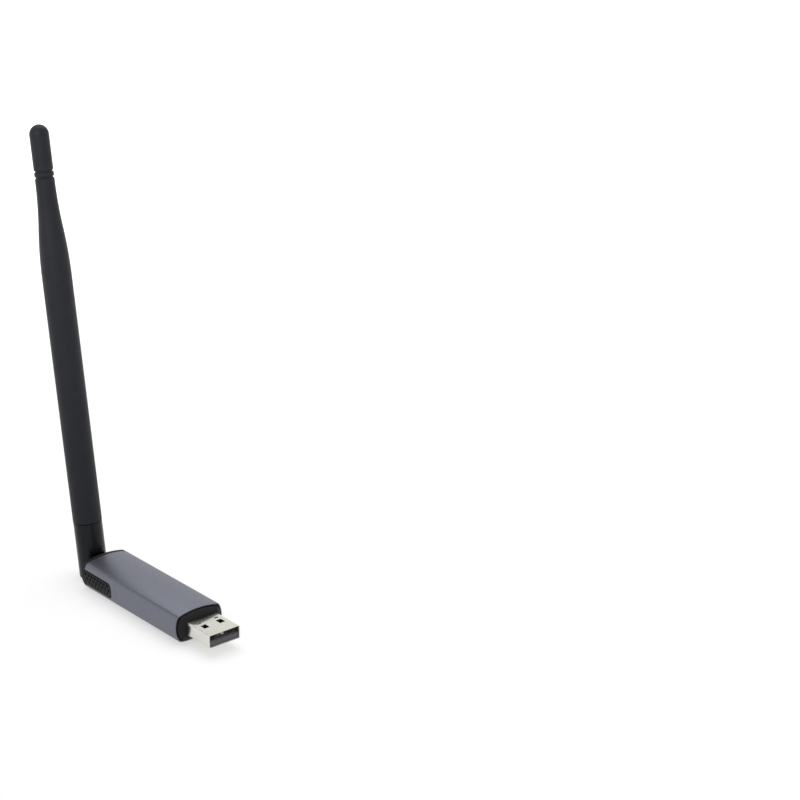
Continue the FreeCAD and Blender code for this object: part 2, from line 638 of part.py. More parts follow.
def make_passives():
    """Small two-ended parts: a matching row behind the shield can, and rows beside the bridge chip."""
    blocks = []
    rows = [
        (BOARD_SHOULDER + PASSIVE_WIDTH, 0.0, 3),
        (BRIDGE_X - BRIDGE_CHIP_SIZE / 2 - PASSIVE_PITCH, 0.0, 4),
        (BRIDGE_X + BRIDGE_CHIP_SIZE / 2 + PASSIVE_PITCH, 0.0, 5),
        (BRIDGE_X, -REGULATOR_OFFSET, 2),
    ]
    for x, y, count in rows:
        for index in range(count):
            place = y + (index - (count - 1) / 2) * PASSIVE_PITCH
            blocks.append(box(x - PASSIVE_WIDTH / 2, x + PASSIVE_WIDTH / 2, place - PASSIVE_LENGTH / 2,
                              place + PASSIVE_LENGTH / 2, BOARD_TOP, BOARD_TOP + PASSIVE_HEIGHT))
    return Part.makeCompound(blocks)


def make_coax_socket():
    """The miniature coax socket: a base, a ring and a centre pin."""
    half = SOCKET_SIZE / 2
    ring_bottom = BOARD_TOP + SOCKET_BASE
    base = box(SOCKET_X - half, SOCKET_X + half, -half, half, BOARD_TOP, ring_bottom)
    foot = Vector(SOCKET_X, 0, ring_bottom)
    up = Vector(0, 0, 1)
    ring = rod(SOCKET_RING_DIAMETER, SOCKET_RING_HEIGHT, foot, up)
    ring = ring.cut(rod(SOCKET_RING_DIAMETER - 2 * SOCKET_RING_WALL, SOCKET_RING_HEIGHT, foot, up))
    pin = rod(SOCKET_PIN_DIAMETER, SOCKET_RING_HEIGHT, foot, up)
    return base.fuse([ring, pin])


def make_coax_plug():
    """The cap that snaps over the socket's ring, with the crimp that holds the lead."""
    bottom = BOARD_TOP + SOCKET_BASE
    height = SOCKET_RING_HEIGHT + SEAT_FIT + PLUG_CAP_ROOF
    foot = Vector(SOCKET_X, 0, bottom)
    up = Vector(0, 0, 1)
    cap = rod(PLUG_CAP_DIAMETER, height, foot, up)
    crimp = box(CASE_LEAD_START, SOCKET_X, -CRIMP_WIDTH / 2, CRIMP_WIDTH / 2,
                CASE_LEAD_LOW - CASE_LEAD_DIAMETER / 2, bottom + height)
    inside = rod(SOCKET_RING_DIAMETER + 2 * SEAT_FIT, SOCKET_RING_HEIGHT + SEAT_FIT, foot, up)
    return cap.fuse(crimp).cut(inside).removeSplitter()


def round_path(points, radii):
    """Straight runs through the points, joined by tangent arcs of the given radii."""
    edges = []
    here = points[0]
    for index, radius in enumerate(radii, start=1):
        corner = points[index]
        back = (points[index - 1] - corner).normalize()
        onward = (points[index + 1] - corner).normalize()
        half_angle = back.getAngle(onward) / 2
        reach = radius / math.tan(half_angle)
        start = corner + back * reach
        end = corner + onward * reach
        bisector = (back + onward).normalize()
        middle = corner + bisector * (radius / math.sin(half_angle) - radius)
        edges.append(Part.LineSegment(here, start).toShape())
        edges.append(Part.Arc(start, middle, end).toShape())
        here = end
    edges.append(Part.LineSegment(here, points[-1]).toShape())
    return Part.Wire(edges)


def make_case_lead():
    """The coax from its plug on the board, up and back through the end cap to the hinge."""
    low_x = CASE_LEAD_START - CASE_LEAD_RUN
    points = [
        Vector(CASE_LEAD_START, 0, CASE_LEAD_LOW),
        Vector(low_x, 0, CASE_LEAD_LOW),
        Vector(low_x - CASE_LEAD_CLIMB, 0, CASE_LEAD_HIGH),
        Vector(HINGE_X, 0, CASE_LEAD_HIGH),
    ]
    climb = math.hypot(CASE_LEAD_CLIMB, CASE_LEAD_HIGH - CASE_LEAD_LOW)
    half_turn = math.atan2(CASE_LEAD_HIGH - CASE_LEAD_LOW, CASE_LEAD_CLIMB) / 2
    radii = [0.45 * CASE_LEAD_RUN / math.tan(half_turn), 0.45 * climb / math.tan(half_turn)]
    ring = Part.makeCircle(CASE_LEAD_DIAMETER / 2, points[0], Vector(-1, 0, 0))
    return round_path(points, radii).makePipe(Part.Face(Part.Wire(ring)))


def stand(shape):
    """Takes a piece drawn upright about the hinge axis to its place at rest, leaning back."""
    placed = shape.copy()
    placed.rotate(Vector(0, 0, 0), Vector(0, 1, 0), -LEAN)
    placed.translate(Vector(HINGE_X, 0, MID))
    return placed


def make_hinge_pin():
    """The pin through the fork and the lug; it is pressed in from the +Y side."""
    start = PIN_FLOOR - BASE_DIAMETER / 2
    length = BASE_DIAMETER / 2 - PIN_RECESS - start
    return stand(rod(PIN_DIAMETER, length, Vector(0, start, 0), Vector(0, 1, 0)))


def make_antenna_base():
    """The fork: a round post whose foot is rounded about the hinge axis and slotted for the lug."""
    up = Vector(0, 0, 1)
    origin = Vector(0, 0, 0)
    post = rod(BASE_DIAMETER, BASE_LENGTH, origin, up)

    def is_top_rim(edge, middle):
        return abs(middle.z - BASE_LENGTH) < 0.001

    post = post.makeChamfer(SEAM_BREAK, edges_where(post, is_top_rim))
    spigot = rod(SPIGOT_DIAMETER, SPIGOT_LENGTH, Vector(0, 0, BASE_LENGTH), up)
    foot = rod(BASE_DIAMETER, KNUCKLE_RADIUS, Vector(0, 0, -KNUCKLE_RADIUS), up)
    knuckle = rod(2 * KNUCKLE_RADIUS, BASE_DIAMETER, Vector(0, -BASE_DIAMETER / 2, 0), Vector(0, 1, 0))
    base = post.fuse([spigot, foot.common(knuckle)]).removeSplitter()
    slot_half = LUG_WIDTH / 2 + HINGE_SIDE_GAP
    roof = LUG_RADIUS + KNUCKLE_GAP
    below = box(-BASE_DIAMETER, BASE_DIAMETER, -slot_half, slot_half, -BASE_DIAMETER, 0)
    ahead = box(0, BASE_DIAMETER, -slot_half, slot_half, -OVERCUT, roof)
    around = rod(2 * roof, 2 * slot_half, Vector(0, -slot_half, 0), Vector(0, 1, 0))
    base = base.cut(below.fuse([ahead, around]))
    pin_start = PIN_FLOOR - BASE_DIAMETER / 2
    pin_bore = rod(PIN_DIAMETER, BASE_DIAMETER, Vector(0, pin_start, 0), Vector(0, 1, 0))
    lead_bore = rod(LEAD_BORE, BASE_LENGTH + SPIGOT_LENGTH, origin, up)
    return stand(base.cut([pin_bore, lead_bore]))


def boot_outline():
    """The whip cover's half section: a straight post, a soft taper, two grooves and a domed tip."""
    big = BOOT_DIAMETER / 2
    tip = TIP_DIAMETER / 2
    bore = BOOT_BORE / 2
    thin = BOOT_TIP_BORE / 2
    socket = SPIGOT_DIAMETER / 2 + SEAT_FIT
    socket_top = BASE_LENGTH + SPIGOT_LENGTH + SEAT_FIT
    dome = ANTENNA_LENGTH - tip
    rod_end = RADIATOR_FOOT + RADIATOR_LENGTH + SEAT_FIT
    groove_a = BOOT_TAPER_END + 2 * GROOVE_HALF_WIDTH
    groove_b = groove_a + GROOVE_SPACING
    slant = math.sin(math.radians(45))
    groove_floor = tip - GROOVE_DEPTH

    def at(r, z):
        return Vector(r, 0, z)

    def line(a, b):
        return Part.LineSegment(at(*a), at(*b)).toShape()

    def groove(z):
        start = (tip, z - GROOVE_HALF_WIDTH)
        end = (tip, z + GROOVE_HALF_WIDTH)
        return [line(start, (groove_floor, z)), line((groove_floor, z), end)]

    run = BOOT_TAPER_END - BOOT_TAPER_START
    drop = big - tip
    bend = (run ** 2 + drop ** 2) / (4 * drop)
    quarter = run / 4
    sag = bend - math.sqrt(bend ** 2 - quarter ** 2)
    halfway = ((big + tip) / 2, BOOT_TAPER_START + run / 2)
    return Part.Wire([
        line((socket, BASE_LENGTH), (big - SEAM_BREAK, BASE_LENGTH)),
        line((big - SEAM_BREAK, BASE_LENGTH), (big, BASE_LENGTH + SEAM_BREAK)),
        line((big, BASE_LENGTH + SEAM_BREAK), (big, BOOT_TAPER_START)),
        Part.Arc(at(big, BOOT_TAPER_START), at(big - sag, BOOT_TAPER_START + quarter),
                 at(*halfway)).toShape(),
        Part.Arc(at(*halfway), at(tip + sag, BOOT_TAPER_END - quarter),
                 at(tip, BOOT_TAPER_END)).toShape(),
        line((tip, BOOT_TAPER_END), (tip, groove_a - GROOVE_HALF_WIDTH)),
        *groove(groove_a),
        line((tip, groove_a + GROOVE_HALF_WIDTH), (tip, groove_b - GROOVE_HALF_WIDTH)),
        *groove(groove_b),
        line((tip, groove_b + GROOVE_HALF_WIDTH), (tip, dome)),
        Part.Arc(at(tip, dome), at(tip * slant, dome + tip * slant), at(0, ANTENNA_LENGTH)).toShape(),
        line((0, ANTENNA_LENGTH), (0, rod_end)),
        line((0, rod_end), (thin, rod_end)),
        line((thin, rod_end), (thin, BOOT_BORE_END)),
        line((thin, BOOT_BORE_END), (bore, BOOT_BORE_END)),
        line((bore, BOOT_BORE_END), (bore, socket_top)),
        line((bore, socket_top), (socket, socket_top)),
        line((socket, socket_top), (socket, BASE_LENGTH)),
    ])


def make_whip_boot():
    """The whip's moulded cover, turned from its half section."""
    face = Part.Face(boot_outline())
    return stand(face.revolve(Vector(0, 0, 0), Vector(0, 0, 1), 360))


def make_antenna_lead():
    """The coax inside the antenna, from the fork's roof to the feed point."""
    start = LUG_RADIUS + KNUCKLE_GAP
    return stand(rod(ANTENNA_LEAD_DIAMETER, RADIATOR_FOOT - start,
                     Vector(0, 0, start), Vector(0, 0, 1)))


def make_feed_tube():
    """The brass sleeve that hangs from the feed point round the lead, closed at its top."""
    up = Vector(0, 0, 1)
    foot = Vector(0, 0, FEED_HEIGHT - FEED_TUBE_LENGTH)
    tube = rod(FEED_TUBE_DIAMETER, FEED_TUBE_LENGTH, foot, up)
    bore = rod(FEED_TUBE_DIAMETER - 2 * FEED_TUBE_WALL, FEED_TUBE_LENGTH - FEED_TUBE_WALL, foot, up)
    hole = rod(ANTENNA_LEAD_DIAMETER, FEED_TUBE_LENGTH, foot, up)
    return stand(tube.cut([bore, hole]))


def make_radiator():
    """The bare rod above the feed point; its top end is held in the tip of the cover."""
    foot = Vector(0, 0, RADIATOR_FOOT)
    return stand(rod(RADIATOR_DIAMETER, RADIATOR_LENGTH, foot, Vector(0, 0, 1)))


PIECES = {
    "sleeve": make_sleeve,
    "front_bezel": make_front_bezel,
    "end_cap": make_end_cap,
    "usb_shell": make_usb_shell,
    "usb_insulator": make_usb_insulator,
    "usb_contacts": make_usb_contacts,
    "circuit_board": make_circuit_board,
    "shield_can": make_shield_can,
    "radio_chip": make_radio_chip,
    "usb_bridge_chip": make_usb_bridge_chip,
    "crystal": make_crystal,
    "voltage_regulator": make_voltage_regulator,
    "passives": make_passives,
    "coax_socket": make_coax_socket,
    "coax_plug": make_coax_plug,
    "case_lead": make_case_lead,
    "hinge_pin": make_hinge_pin,
    "antenna_base": make_antenna_base,
    "whip_boot": make_whip_boot,
    "antenna_lead": make_antenna_lead,
    "feed_tube": make_feed_tube,
    "radiator": make_radiator,
}

os.makedirs("parts", exist_ok=True)
for name, make in PIECES.items():
    shape = make()
    if not shape.isValid():
        raise ValueError(name + " is not a valid shape")
    shape.exportStep("parts/" + name + ".step")
    print(name, len(shape.Solids), "solid(s)", round(shape.Volume, 1), "mm3")
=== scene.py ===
"""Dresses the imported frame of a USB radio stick: its surfaces, finishes, light and camera."""

import json
import math

import bmesh
import bpy
import numpy as np
from mathutils import Matrix, Vector


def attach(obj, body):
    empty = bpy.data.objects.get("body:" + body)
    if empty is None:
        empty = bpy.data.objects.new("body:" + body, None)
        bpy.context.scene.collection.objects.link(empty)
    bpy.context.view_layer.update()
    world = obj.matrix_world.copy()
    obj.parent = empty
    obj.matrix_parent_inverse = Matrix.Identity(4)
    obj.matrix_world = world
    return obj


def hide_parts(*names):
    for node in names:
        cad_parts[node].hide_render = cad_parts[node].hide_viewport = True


bl_info = {
    "name": "USB radio stick",
    "version": (1, 0, 0),
    "blender": (4, 5, 0),
    "location": "View3D > Sidebar > Radio stick",
    "description": "Builds the visible surfaces and finishes of a USB radio stick round its packed frame",
    "category": "Object",
}

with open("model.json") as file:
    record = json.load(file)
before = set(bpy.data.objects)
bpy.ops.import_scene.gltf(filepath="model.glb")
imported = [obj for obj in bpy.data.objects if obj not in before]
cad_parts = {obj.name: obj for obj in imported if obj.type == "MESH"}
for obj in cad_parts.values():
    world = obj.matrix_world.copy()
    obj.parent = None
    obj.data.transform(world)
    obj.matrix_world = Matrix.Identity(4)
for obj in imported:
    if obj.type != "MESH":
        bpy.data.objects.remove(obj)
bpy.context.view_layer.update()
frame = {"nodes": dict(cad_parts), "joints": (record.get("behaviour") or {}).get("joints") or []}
MM = 0.001


# Sizes and colours that a user would change

class CaseSettings(bpy.types.PropertyGroup):
    """The extruded aluminium case and its two side windows."""

    length: bpy.props.FloatProperty(
        name="Length", description="Length of the extrusion", default=0.0523, unit="LENGTH")
    width: bpy.props.FloatProperty(
        name="Width", description="Widest size across the case", default=0.0184, unit="LENGTH")
    height: bpy.props.FloatProperty(
        name="Height", description="Height of the domed top above the table", default=0.0105,
        unit="LENGTH")
    wall: bpy.props.FloatProperty(
        name="Wall", description="Thickness of the extruded wall", default=0.001, unit="LENGTH")
    lip: bpy.props.FloatProperty(
        name="Lip", description="Thickness that the wall thins down to at its front end",
        default=0.00038, unit="LENGTH")
    window_length: bpy.props.FloatProperty(
        name="Window length", description="How far each side window runs in from the rear end",
        default=0.01605, unit="LENGTH")
    edge: bpy.props.FloatProperty(
        name="Edge round", description="Round on the case's cut edges", default=0.00012,
        unit="LENGTH")
    colour: bpy.props.FloatVectorProperty(
        name="Anodised colour", description="Reflectance of the anodised aluminium",
        default=(0.174, 0.180, 0.217), subtype="COLOR")


class MouldingSettings(bpy.types.PropertyGroup):
    """The black moulded frame, end cap and fork."""

    bezel_proud: bpy.props.FloatProperty(
        name="Bezel stands proud", description="How far the front frame stands out of the case",
        default=0.0016, unit="LENGTH")
    bezel_slope: bpy.props.FloatProperty(
        name="Bezel slope", description="Width of the sloping rim of the front frame",
        default=0.00145, unit="LENGTH")
    groove: bpy.props.FloatProperty(
        name="Groove", description="Depth of the groove between the case's lip and the front frame",
        default=0.0006, unit="LENGTH")
    reveal: bpy.props.FloatProperty(
        name="Reveal", description="From the case's outside to the front frame's rim",
        default=0.00075, unit="LENGTH")
    edge: bpy.props.FloatProperty(
        name="Moulded round", description="Round on the moulded pieces' edges", default=0.00012,
        unit="LENGTH")
    colour: bpy.props.FloatVectorProperty(
        name="Moulding colour", description="Reflectance of the textured black plastic",
        default=(0.010, 0.010, 0.0105), subtype="COLOR")
    fork_colour: bpy.props.FloatVectorProperty(
        name="Fork colour", description="Reflectance of the smoother fork",
        default=(0.0055, 0.0063, 0.0095), subtype="COLOR")


class PlugSettings(bpy.types.PropertyGroup):
    """The plug's steel shell and its tongue."""

    shell_edge: bpy.props.FloatProperty(
        name="Shell round", description="Round on the shell's cut edges", default=0.00005,
        unit="LENGTH")
    tongue_edge: bpy.props.FloatProperty(
        name="Tongue round", description="Round on the tongue's moulded edges", default=0.00006,
        unit="LENGTH")
    colour: bpy.props.FloatVectorProperty(
        name="Nickel colour", description="Reflectance of the shell's nickel plate",
        default=(0.72, 0.71, 0.645), subtype="COLOR")
    tongue_colour: bpy.props.FloatVectorProperty(
        name="Tongue colour", description="Reflectance of the tongue's plastic",
        default=(0.108, 0.106, 0.121), subtype="COLOR")


class WhipSettings(bpy.types.PropertyGroup):
    """The rubber cover of the antenna."""

    lean: bpy.props.FloatProperty(
        name="Lean", description="How far the antenna leans back from upright at rest",
        default=math.radians(7.7), subtype="ANGLE", unit="ROTATION")
    length: bpy.props.FloatProperty(
        name="Length", description="From the hinge to the tip", default=0.1487, unit="LENGTH")
    diameter: bpy.props.FloatProperty(
        name="Diameter", description="Of the straight lower part", default=0.0098, unit="LENGTH")
    tip_diameter: bpy.props.FloatProperty(
        name="Tip diameter", description="Of the slim end", default=0.0064, unit="LENGTH")
    colour: bpy.props.FloatVectorProperty(
        name="Rubber colour", description="Reflectance of the rubber",
        default=(0.018, 0.019, 0.0235), subtype="COLOR")


class StageSettings(bpy.types.PropertyGroup):
    """The camera, the table and the light."""

    camera_place: bpy.props.FloatVectorProperty(
        name="Camera place", description="Where the camera stands",
        default=(0.550544, -0.370297, 0.325138), subtype="TRANSLATION", unit="LENGTH")
    camera_azimuth: bpy.props.FloatProperty(
        name="Camera heading", description="Heading of the line of sight from +X",
        default=math.radians(139.0472), subtype="ANGLE", unit="ROTATION")
    camera_pitch: bpy.props.FloatProperty(
        name="Camera pitch", description="How far the line of sight dips below level",
        default=math.radians(20.8714), subtype="ANGLE", unit="ROTATION")
    camera_roll: bpy.props.FloatProperty(
        name="Camera roll", description="Turn of the camera about its line of sight",
        default=math.radians(0.3112), subtype="ANGLE", unit="ROTATION")
    lens: bpy.props.FloatProperty(
        name="Lens", description="Focal length on a 36 mm sensor", default=99.942,
        subtype="DISTANCE_CAMERA")
    table_colour: bpy.props.FloatVectorProperty(
        name="Table colour", description="Reflectance of the pale table",
        default=(0.55, 0.55, 0.55), subtype="COLOR")
    table_glow: bpy.props.FloatProperty(
        name="Table whiteness", description="Brightness that the eye sees on top of the light",
        default=0.52)
    fill: bpy.props.FloatProperty(
        name="Room light", description="Strength of the even light from all round", default=0.5)
    ceiling: bpy.props.FloatProperty(
        name="Ceiling", description="Brightness overhead in reflections, against 1 at the walls",
        default=0.4)
    key: bpy.props.FloatProperty(
        name="Softbox power", description="Power of the large softbox over the table",
        default=18.0, unit="POWER")
    front: bpy.props.FloatProperty(
        name="Front lamp power", description="Power of the small lamp in front of the antenna's tip",
        default=0.036, unit="POWER")


# Meshes from arrays

def grid_faces(rows, columns, wrap=False):
    """Quads that join a grid's neighbours; with wrap, the last column joins the first."""
    i = np.arange(rows - 1)[:, None] * columns
    j = np.arange(columns if wrap else columns - 1)[None, :]
    k = (j + 1) % columns
    corners = [i + j, i + k, i + columns + k, i + columns + j]
    return np.stack(np.broadcast_arrays(*corners), -1).reshape(-1, 4)


def joined(patches):
    """Several (points, faces) patches as one pair of arrays."""
    points, faces, start = [], [], 0
    for p, f in patches:
        points.append(p.reshape(-1, 3))
        faces.append(f + start)
        start += len(points[-1])
    return np.concatenate(points), np.concatenate(faces)


WELD_DISTANCE = 1e-7
LEAST_EDGE = 1e-8
SHARP_TURN = 35.0
ROUND_SEGMENTS = 2


def make_piece(name, patches, body, node, material, sharp=SHARP_TURN):
    """A piece from patches of quads, welded, with its faces turned outwards."""
    points, faces = joined(patches)
    mesh = bpy.data.meshes.new(name)
    mesh.from_pydata(points.tolist(), [], faces.tolist())
    weld(mesh)
    return add_piece(name, mesh, body, node, material, sharp)


def weld(mesh):
    """Joins points that coincide, drops faces with no area and turns the faces outwards."""
    work = bmesh.new()
    work.from_mesh(mesh)
    bmesh.ops.remove_doubles(work, verts=work.verts, dist=WELD_DISTANCE)
    bmesh.ops.dissolve_degenerate(work, edges=work.edges, dist=LEAST_EDGE)
    bmesh.ops.recalc_face_normals(work, faces=work.faces)
    work.to_mesh(mesh)
    work.free()


def add_piece(name, mesh, body, node, material, sharp):
    """The mesh as an object with its material, smooth between edges that turn by more than sharp
    degrees, riding on its body in place of its node."""
    mesh.shade_smooth()
    mesh.set_sharp_from_angle(angle=math.radians(sharp))
    mesh.materials.clear()
    mesh.materials.append(material)
    piece = bpy.data.objects.new(name, mesh)
    bpy.context.scene.collection.objects.link(piece)
    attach(piece, body)
    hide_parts(node)
    return piece


def round_edges(piece, width, limit=SHARP_TURN):
    """Rounds the edges that turn by more than limit degrees, with a bevel that keeps flats flat."""
    bevel = piece.modifiers.new("edge_round", "BEVEL")
    bevel.width = width
    bevel.segments = ROUND_SEGMENTS
    bevel.limit_method = "ANGLE"
    bevel.angle_limit = math.radians(limit)
    bevel.harden_normals = True
    bevel.use_clamp_overlap = True


# The case's cross-section

def meet(centre_a, radius_a, centre_b, radius_b, upper):
    """Where two circles cross on the +Y side, in the upper or the lower half: from the first centre
    along the line of centres, as far as the radii and the centres' distance give, then across it."""
    a, b = np.array(centre_a), np.array(centre_b)
    apart = np.linalg.norm(b - a)
    along = (radius_a ** 2 - radius_b ** 2 + apart ** 2) / (2 * apart)
    across = math.sqrt(radius_a ** 2 - along ** 2)
    unit = (b - a) / apart
    normal = np.array([-unit[1], unit[0]])
    both = [a + unit * along + normal * across, a + unit * along - normal * across]
    outer = [point for point in both if point[0] > 0]
    return max(outer, key=lambda point: point[1] if upper else -point[1])


# The radii of the case's arcs, the belly's flat and the crease between two arcs
CROWN_RADIUS = 30 * MM
SIDE_RADIUS = 8 * MM
BELLY_RADIUS = 10 * MM
BASE_FLAT = 9 * MM
CREASE = 1.5 * MM


class Section:
    """The case's outline, drawn in by inset, as a function of its normal's angle: a domed top,
    bowed sides and a belly, each a circle's arc, with a rounded crease between neighbours."""

    def __init__(self, inset=0.0, crease=CREASE):
        case = bpy.context.scene.stick_case
        self.middle = case.height / 2
        crown = np.array([0.0, case.height - CROWN_RADIUS])
        side = np.array([case.width / 2 - SIDE_RADIUS, self.middle])
        belly = np.array([BASE_FLAT / 2, BELLY_RADIUS])
        radii = [r - inset for r in (CROWN_RADIUS, SIDE_RADIUS, BELLY_RADIUS)]
        top = meet(crown, radii[0] - crease, side, radii[1] - crease, True)
        low = meet(belly, radii[2] - crease, side, radii[1] - crease, False)
        self.centres = [crown, top, side, low, belly]
        self.radii = [radii[0], crease, radii[1], crease, radii[2]]
        self.turns = [self._angle(top - crown), self._angle(top - side),
                      self._angle(low - side), self._angle(low - belly)]

    @staticmethod
    def _angle(v):
        """A vector's direction, as an angle from +Y."""
        return math.atan2(v[1], v[0])

    def at(self, angle, shrink=0.0):
        """Points (y, z) where the outline's normal has these angles, moved in by shrink: the centre
        of the arc that the angle falls in, plus its radius times the angle's cosine and sine."""
        angle = np.asarray(angle)
        part = np.searchsorted(-np.array(self.turns), -angle, side="left")
        centre = np.array(self.centres)[part]
        radius = np.array(self.radii)[part] - shrink
        return centre + radius[..., None] * np.stack([np.cos(angle), np.sin(angle)], -1)

    def angle_at(self, z):
        """The normal's angle where the bowed side has this height."""
        return np.arcsin((np.asarray(z) - self.middle) / self.radii[2])

    def angles(self, start, end, count):
        """Angles from start down to end, with count steps in each arc, so that the small creases
        have as many as the long arcs."""
        marks = [a for a in self.turns if end < a < start]
        stops = [start] + marks + [end]
        runs = [np.linspace(a, b, count, endpoint=False) for a, b in zip(stops, stops[1:])]
        return np.concatenate(runs + [[end]])


def both_sides(half):
    """A closed outline from its +Y half, which runs from the top's middle to the belly's."""
    mirror = half[::-1] * np.array([-1, 1])
    return np.concatenate([half, mirror[1:-1]])


def swept(outline, x):
    """Points of one outline (y, z) set at each x: the profile carried along the case's axis."""
    x = np.broadcast_to(np.asarray(x, float)[..., None, None], np.shape(x) + (len(outline), 1))
    ring = np.broadcast_to(outline, x.shape[:-1] + (2,))
    return np.concatenate([x, ring], -1)


# The pieces

# The side windows' upper and lower edges and the radius of their corners
WINDOW_TOP = 7.6 * MM
WINDOW_BOTTOM = 2.1 * MM
WINDOW_CORNER = 2.4 * MM


def window_heights(corner_steps=10, side_steps=3):
    """Heights down a side window's front edge: a quarter circle, a straight and a quarter circle."""
    turn = np.linspace(0, math.pi / 2, corner_steps)
    upper = WINDOW_TOP - WINDOW_CORNER + WINDOW_CORNER * np.cos(turn)
    lower = WINDOW_BOTTOM + WINDOW_CORNER - WINDOW_CORNER * np.sin(turn)
    straight = np.linspace(upper[-1], lower[0], side_steps + 1)[1:-1]
    return np.concatenate([upper, straight, lower])


def window_front(z, front):
    """The window's front edge at height z: straight, with a quarter circle at each corner."""
    above = np.clip(z - (WINDOW_TOP - WINDOW_CORNER), 0, WINDOW_CORNER)
    below = np.clip(WINDOW_BOTTOM + WINDOW_CORNER - z, 0, WINDOW_CORNER)
    off = above + below
    return front - WINDOW_CORNER + np.sqrt(np.maximum(WINDOW_CORNER ** 2 - off ** 2, 0))


# How many points the case's walls have, and how fast they spread towards the front
REAR_STEPS, FRONT_STEPS = 12, 22
STEP_GROWTH = 1.3
OVER_STEPS, UNDER_STEPS = 14, 12


def wall_outlines(inset, crease):
    """One wall's outline (y, z) in three parts: over the windows, beside them and under them."""
    section = Section(inset, crease)
    high = section.angle_at(WINDOW_TOP)
    low = section.angle_at(WINDOW_BOTTOM)
    top = section.at(section.angles(math.pi / 2, high, OVER_STEPS))
    belly = section.at(section.angles(low, -math.pi / 2, UNDER_STEPS))
    side = section.at(section.angle_at(window_heights()))
    side[0], side[-1] = top[-1], belly[0]
    mirror = np.array([-1, 1])
    over = np.concatenate([top[::-1] * mirror, top[1:]])[::-1]
    under = np.concatenate([belly, (belly * mirror)[::-1]])
    return over, side, under


def wall_grids(outlines, along, share, window_end, front):
    """One wall's four grids: the strips over and under the windows, carried along X, and on each
    side a strip whose rows share out the way from the window's front edge to the case's front."""
    over, side, under = outlines
    grids = [swept(over, along), swept(under, along)]
    x_edge = window_front(side[:, 1], window_end)[None, :]
    x = x_edge + (front - x_edge) * share[:, None]
    for sign in (1, -1):
        y = np.broadcast_to(sign * side[:, 0], x.shape)
        z = np.broadcast_to(side[:, 1], x.shape)
        grids.append(np.stack([x, y, z], -1))
    return grids


def build_case(context):
    """The case: its outer and inner walls are the cross-section carried along X. The inner wall
    flares towards a thin lip at the front, and bands between the two walls close the ends and the
    windows' edges."""
    case = context.scene.stick_case
    front, rear = case.length / 2, -case.length / 2
    window_end = rear + case.window_length
    corner = window_end - WINDOW_CORNER
    share = np.linspace(0, 1, FRONT_STEPS) ** STEP_GROWTH
    along = np.concatenate([np.linspace(rear, corner, REAR_STEPS),
                            (corner + (front - corner) * share)[1:]])
    outer = wall_grids(wall_outlines(0.0, CREASE), along, share, window_end, front)
    inner = wall_grids(wall_outlines(case.wall, CREASE / 2), along, share, window_end, front)
    bands = []
    for a, b in zip(outer, inner):
        b[-1] = a[-1] + (b[-1] - a[-1]) * case.lip / case.wall
        bands += [np.stack([a[-1], b[-1]]), np.stack([a[0], b[0]])]
        if len(a) == len(along):
            bands += [np.stack([a[:REAR_STEPS, edge], b[:REAR_STEPS, edge]]) for edge in (0, -1)]
    patches = [(grid, grid_faces(*grid.shape[:2])) for grid in outer + inner + bands]
    piece = make_piece("case", patches, "stick", "sleeve", anodised(context))
    round_edges(piece, case.edge)


def plug_hole(directions, half_width, half_height, power=14):
    """A rounded rectangle as a superellipse, cut by rays in the given directions."""
    y, z = directions[:, 0] / half_width, directions[:, 1] / half_height
    reach = (np.abs(y) ** power + np.abs(z) ** power) ** (-1 / power)
    return directions * reach[:, None]


OUTLINE_STEPS, FLAT_STEPS = 18, 6


def closed_outline(section, shrink=0.0):
    """The whole outline of a section: both sides' arcs and the flat middle of the belly."""
    half = section.at(section.angles(math.pi / 2, -math.pi / 2, OUTLINE_STEPS), shrink)
    flat = np.linspace(half[-1], np.array([0.0, half[-1][1]]), FLAT_STEPS)[1:]
    return both_sides(np.concatenate([half, flat]))


# The plug's frame: the seat's gap, half the hole's sizes, the depth in the case and the rim
SEAT_FIT = 0.05 * MM
PLUG_HALF = (6.04 * MM, 2.29 * MM)
BEZEL_INSERT = 2.4 * MM
RIM_POWER = 1.5
RIM_STEPS, FACE_STEPS = 19, 6


def build_bezel(context):
    """The plug's frame: a seat inside the case, stepped out at the bottom of a groove into a rim.
    The rim's outline turns in along a superellipse, which is a slope with soft ends, and is drawn
    across the face to the plug's hole."""
    case = context.scene.stick_case
    moulding = context.scene.stick_moulding
    front = case.length / 2
    face = front + moulding.bezel_proud
    seat = closed_outline(Section(case.wall + SEAT_FIT, CREASE / 2))
    rim = Section(moulding.reveal, CREASE)
    bottom = front - moulding.groove
    rings = [swept(seat, front - BEZEL_INSERT), swept(seat, bottom),
             swept(closed_outline(rim), bottom)]
    for turn in np.linspace(0, math.pi / 2, RIM_STEPS):
        drawn_in = 1 - math.cos(turn) ** RIM_POWER
        outline = closed_outline(rim, moulding.bezel_slope * drawn_in)
        rings.append(swept(outline, front + (face - front) * math.sin(turn) ** RIM_POWER))
    middle = np.array([0.0, rim.middle])
    hole = middle + plug_hole(outline - middle, *PLUG_HALF)
    for share in np.linspace(0, 1, FACE_STEPS)[1:]:
        rings.append(swept(outline + (hole - outline) * share, face))
    rings.append(swept(hole, front - BEZEL_INSERT))
    rings.append(rings[0])
    points = np.stack(rings)
    patch = (points, grid_faces(*points.shape[:2], wrap=True))
    make_piece("plug_frame", [patch], "stick", "front_bezel",
               textured_black(context), sharp=50.0)


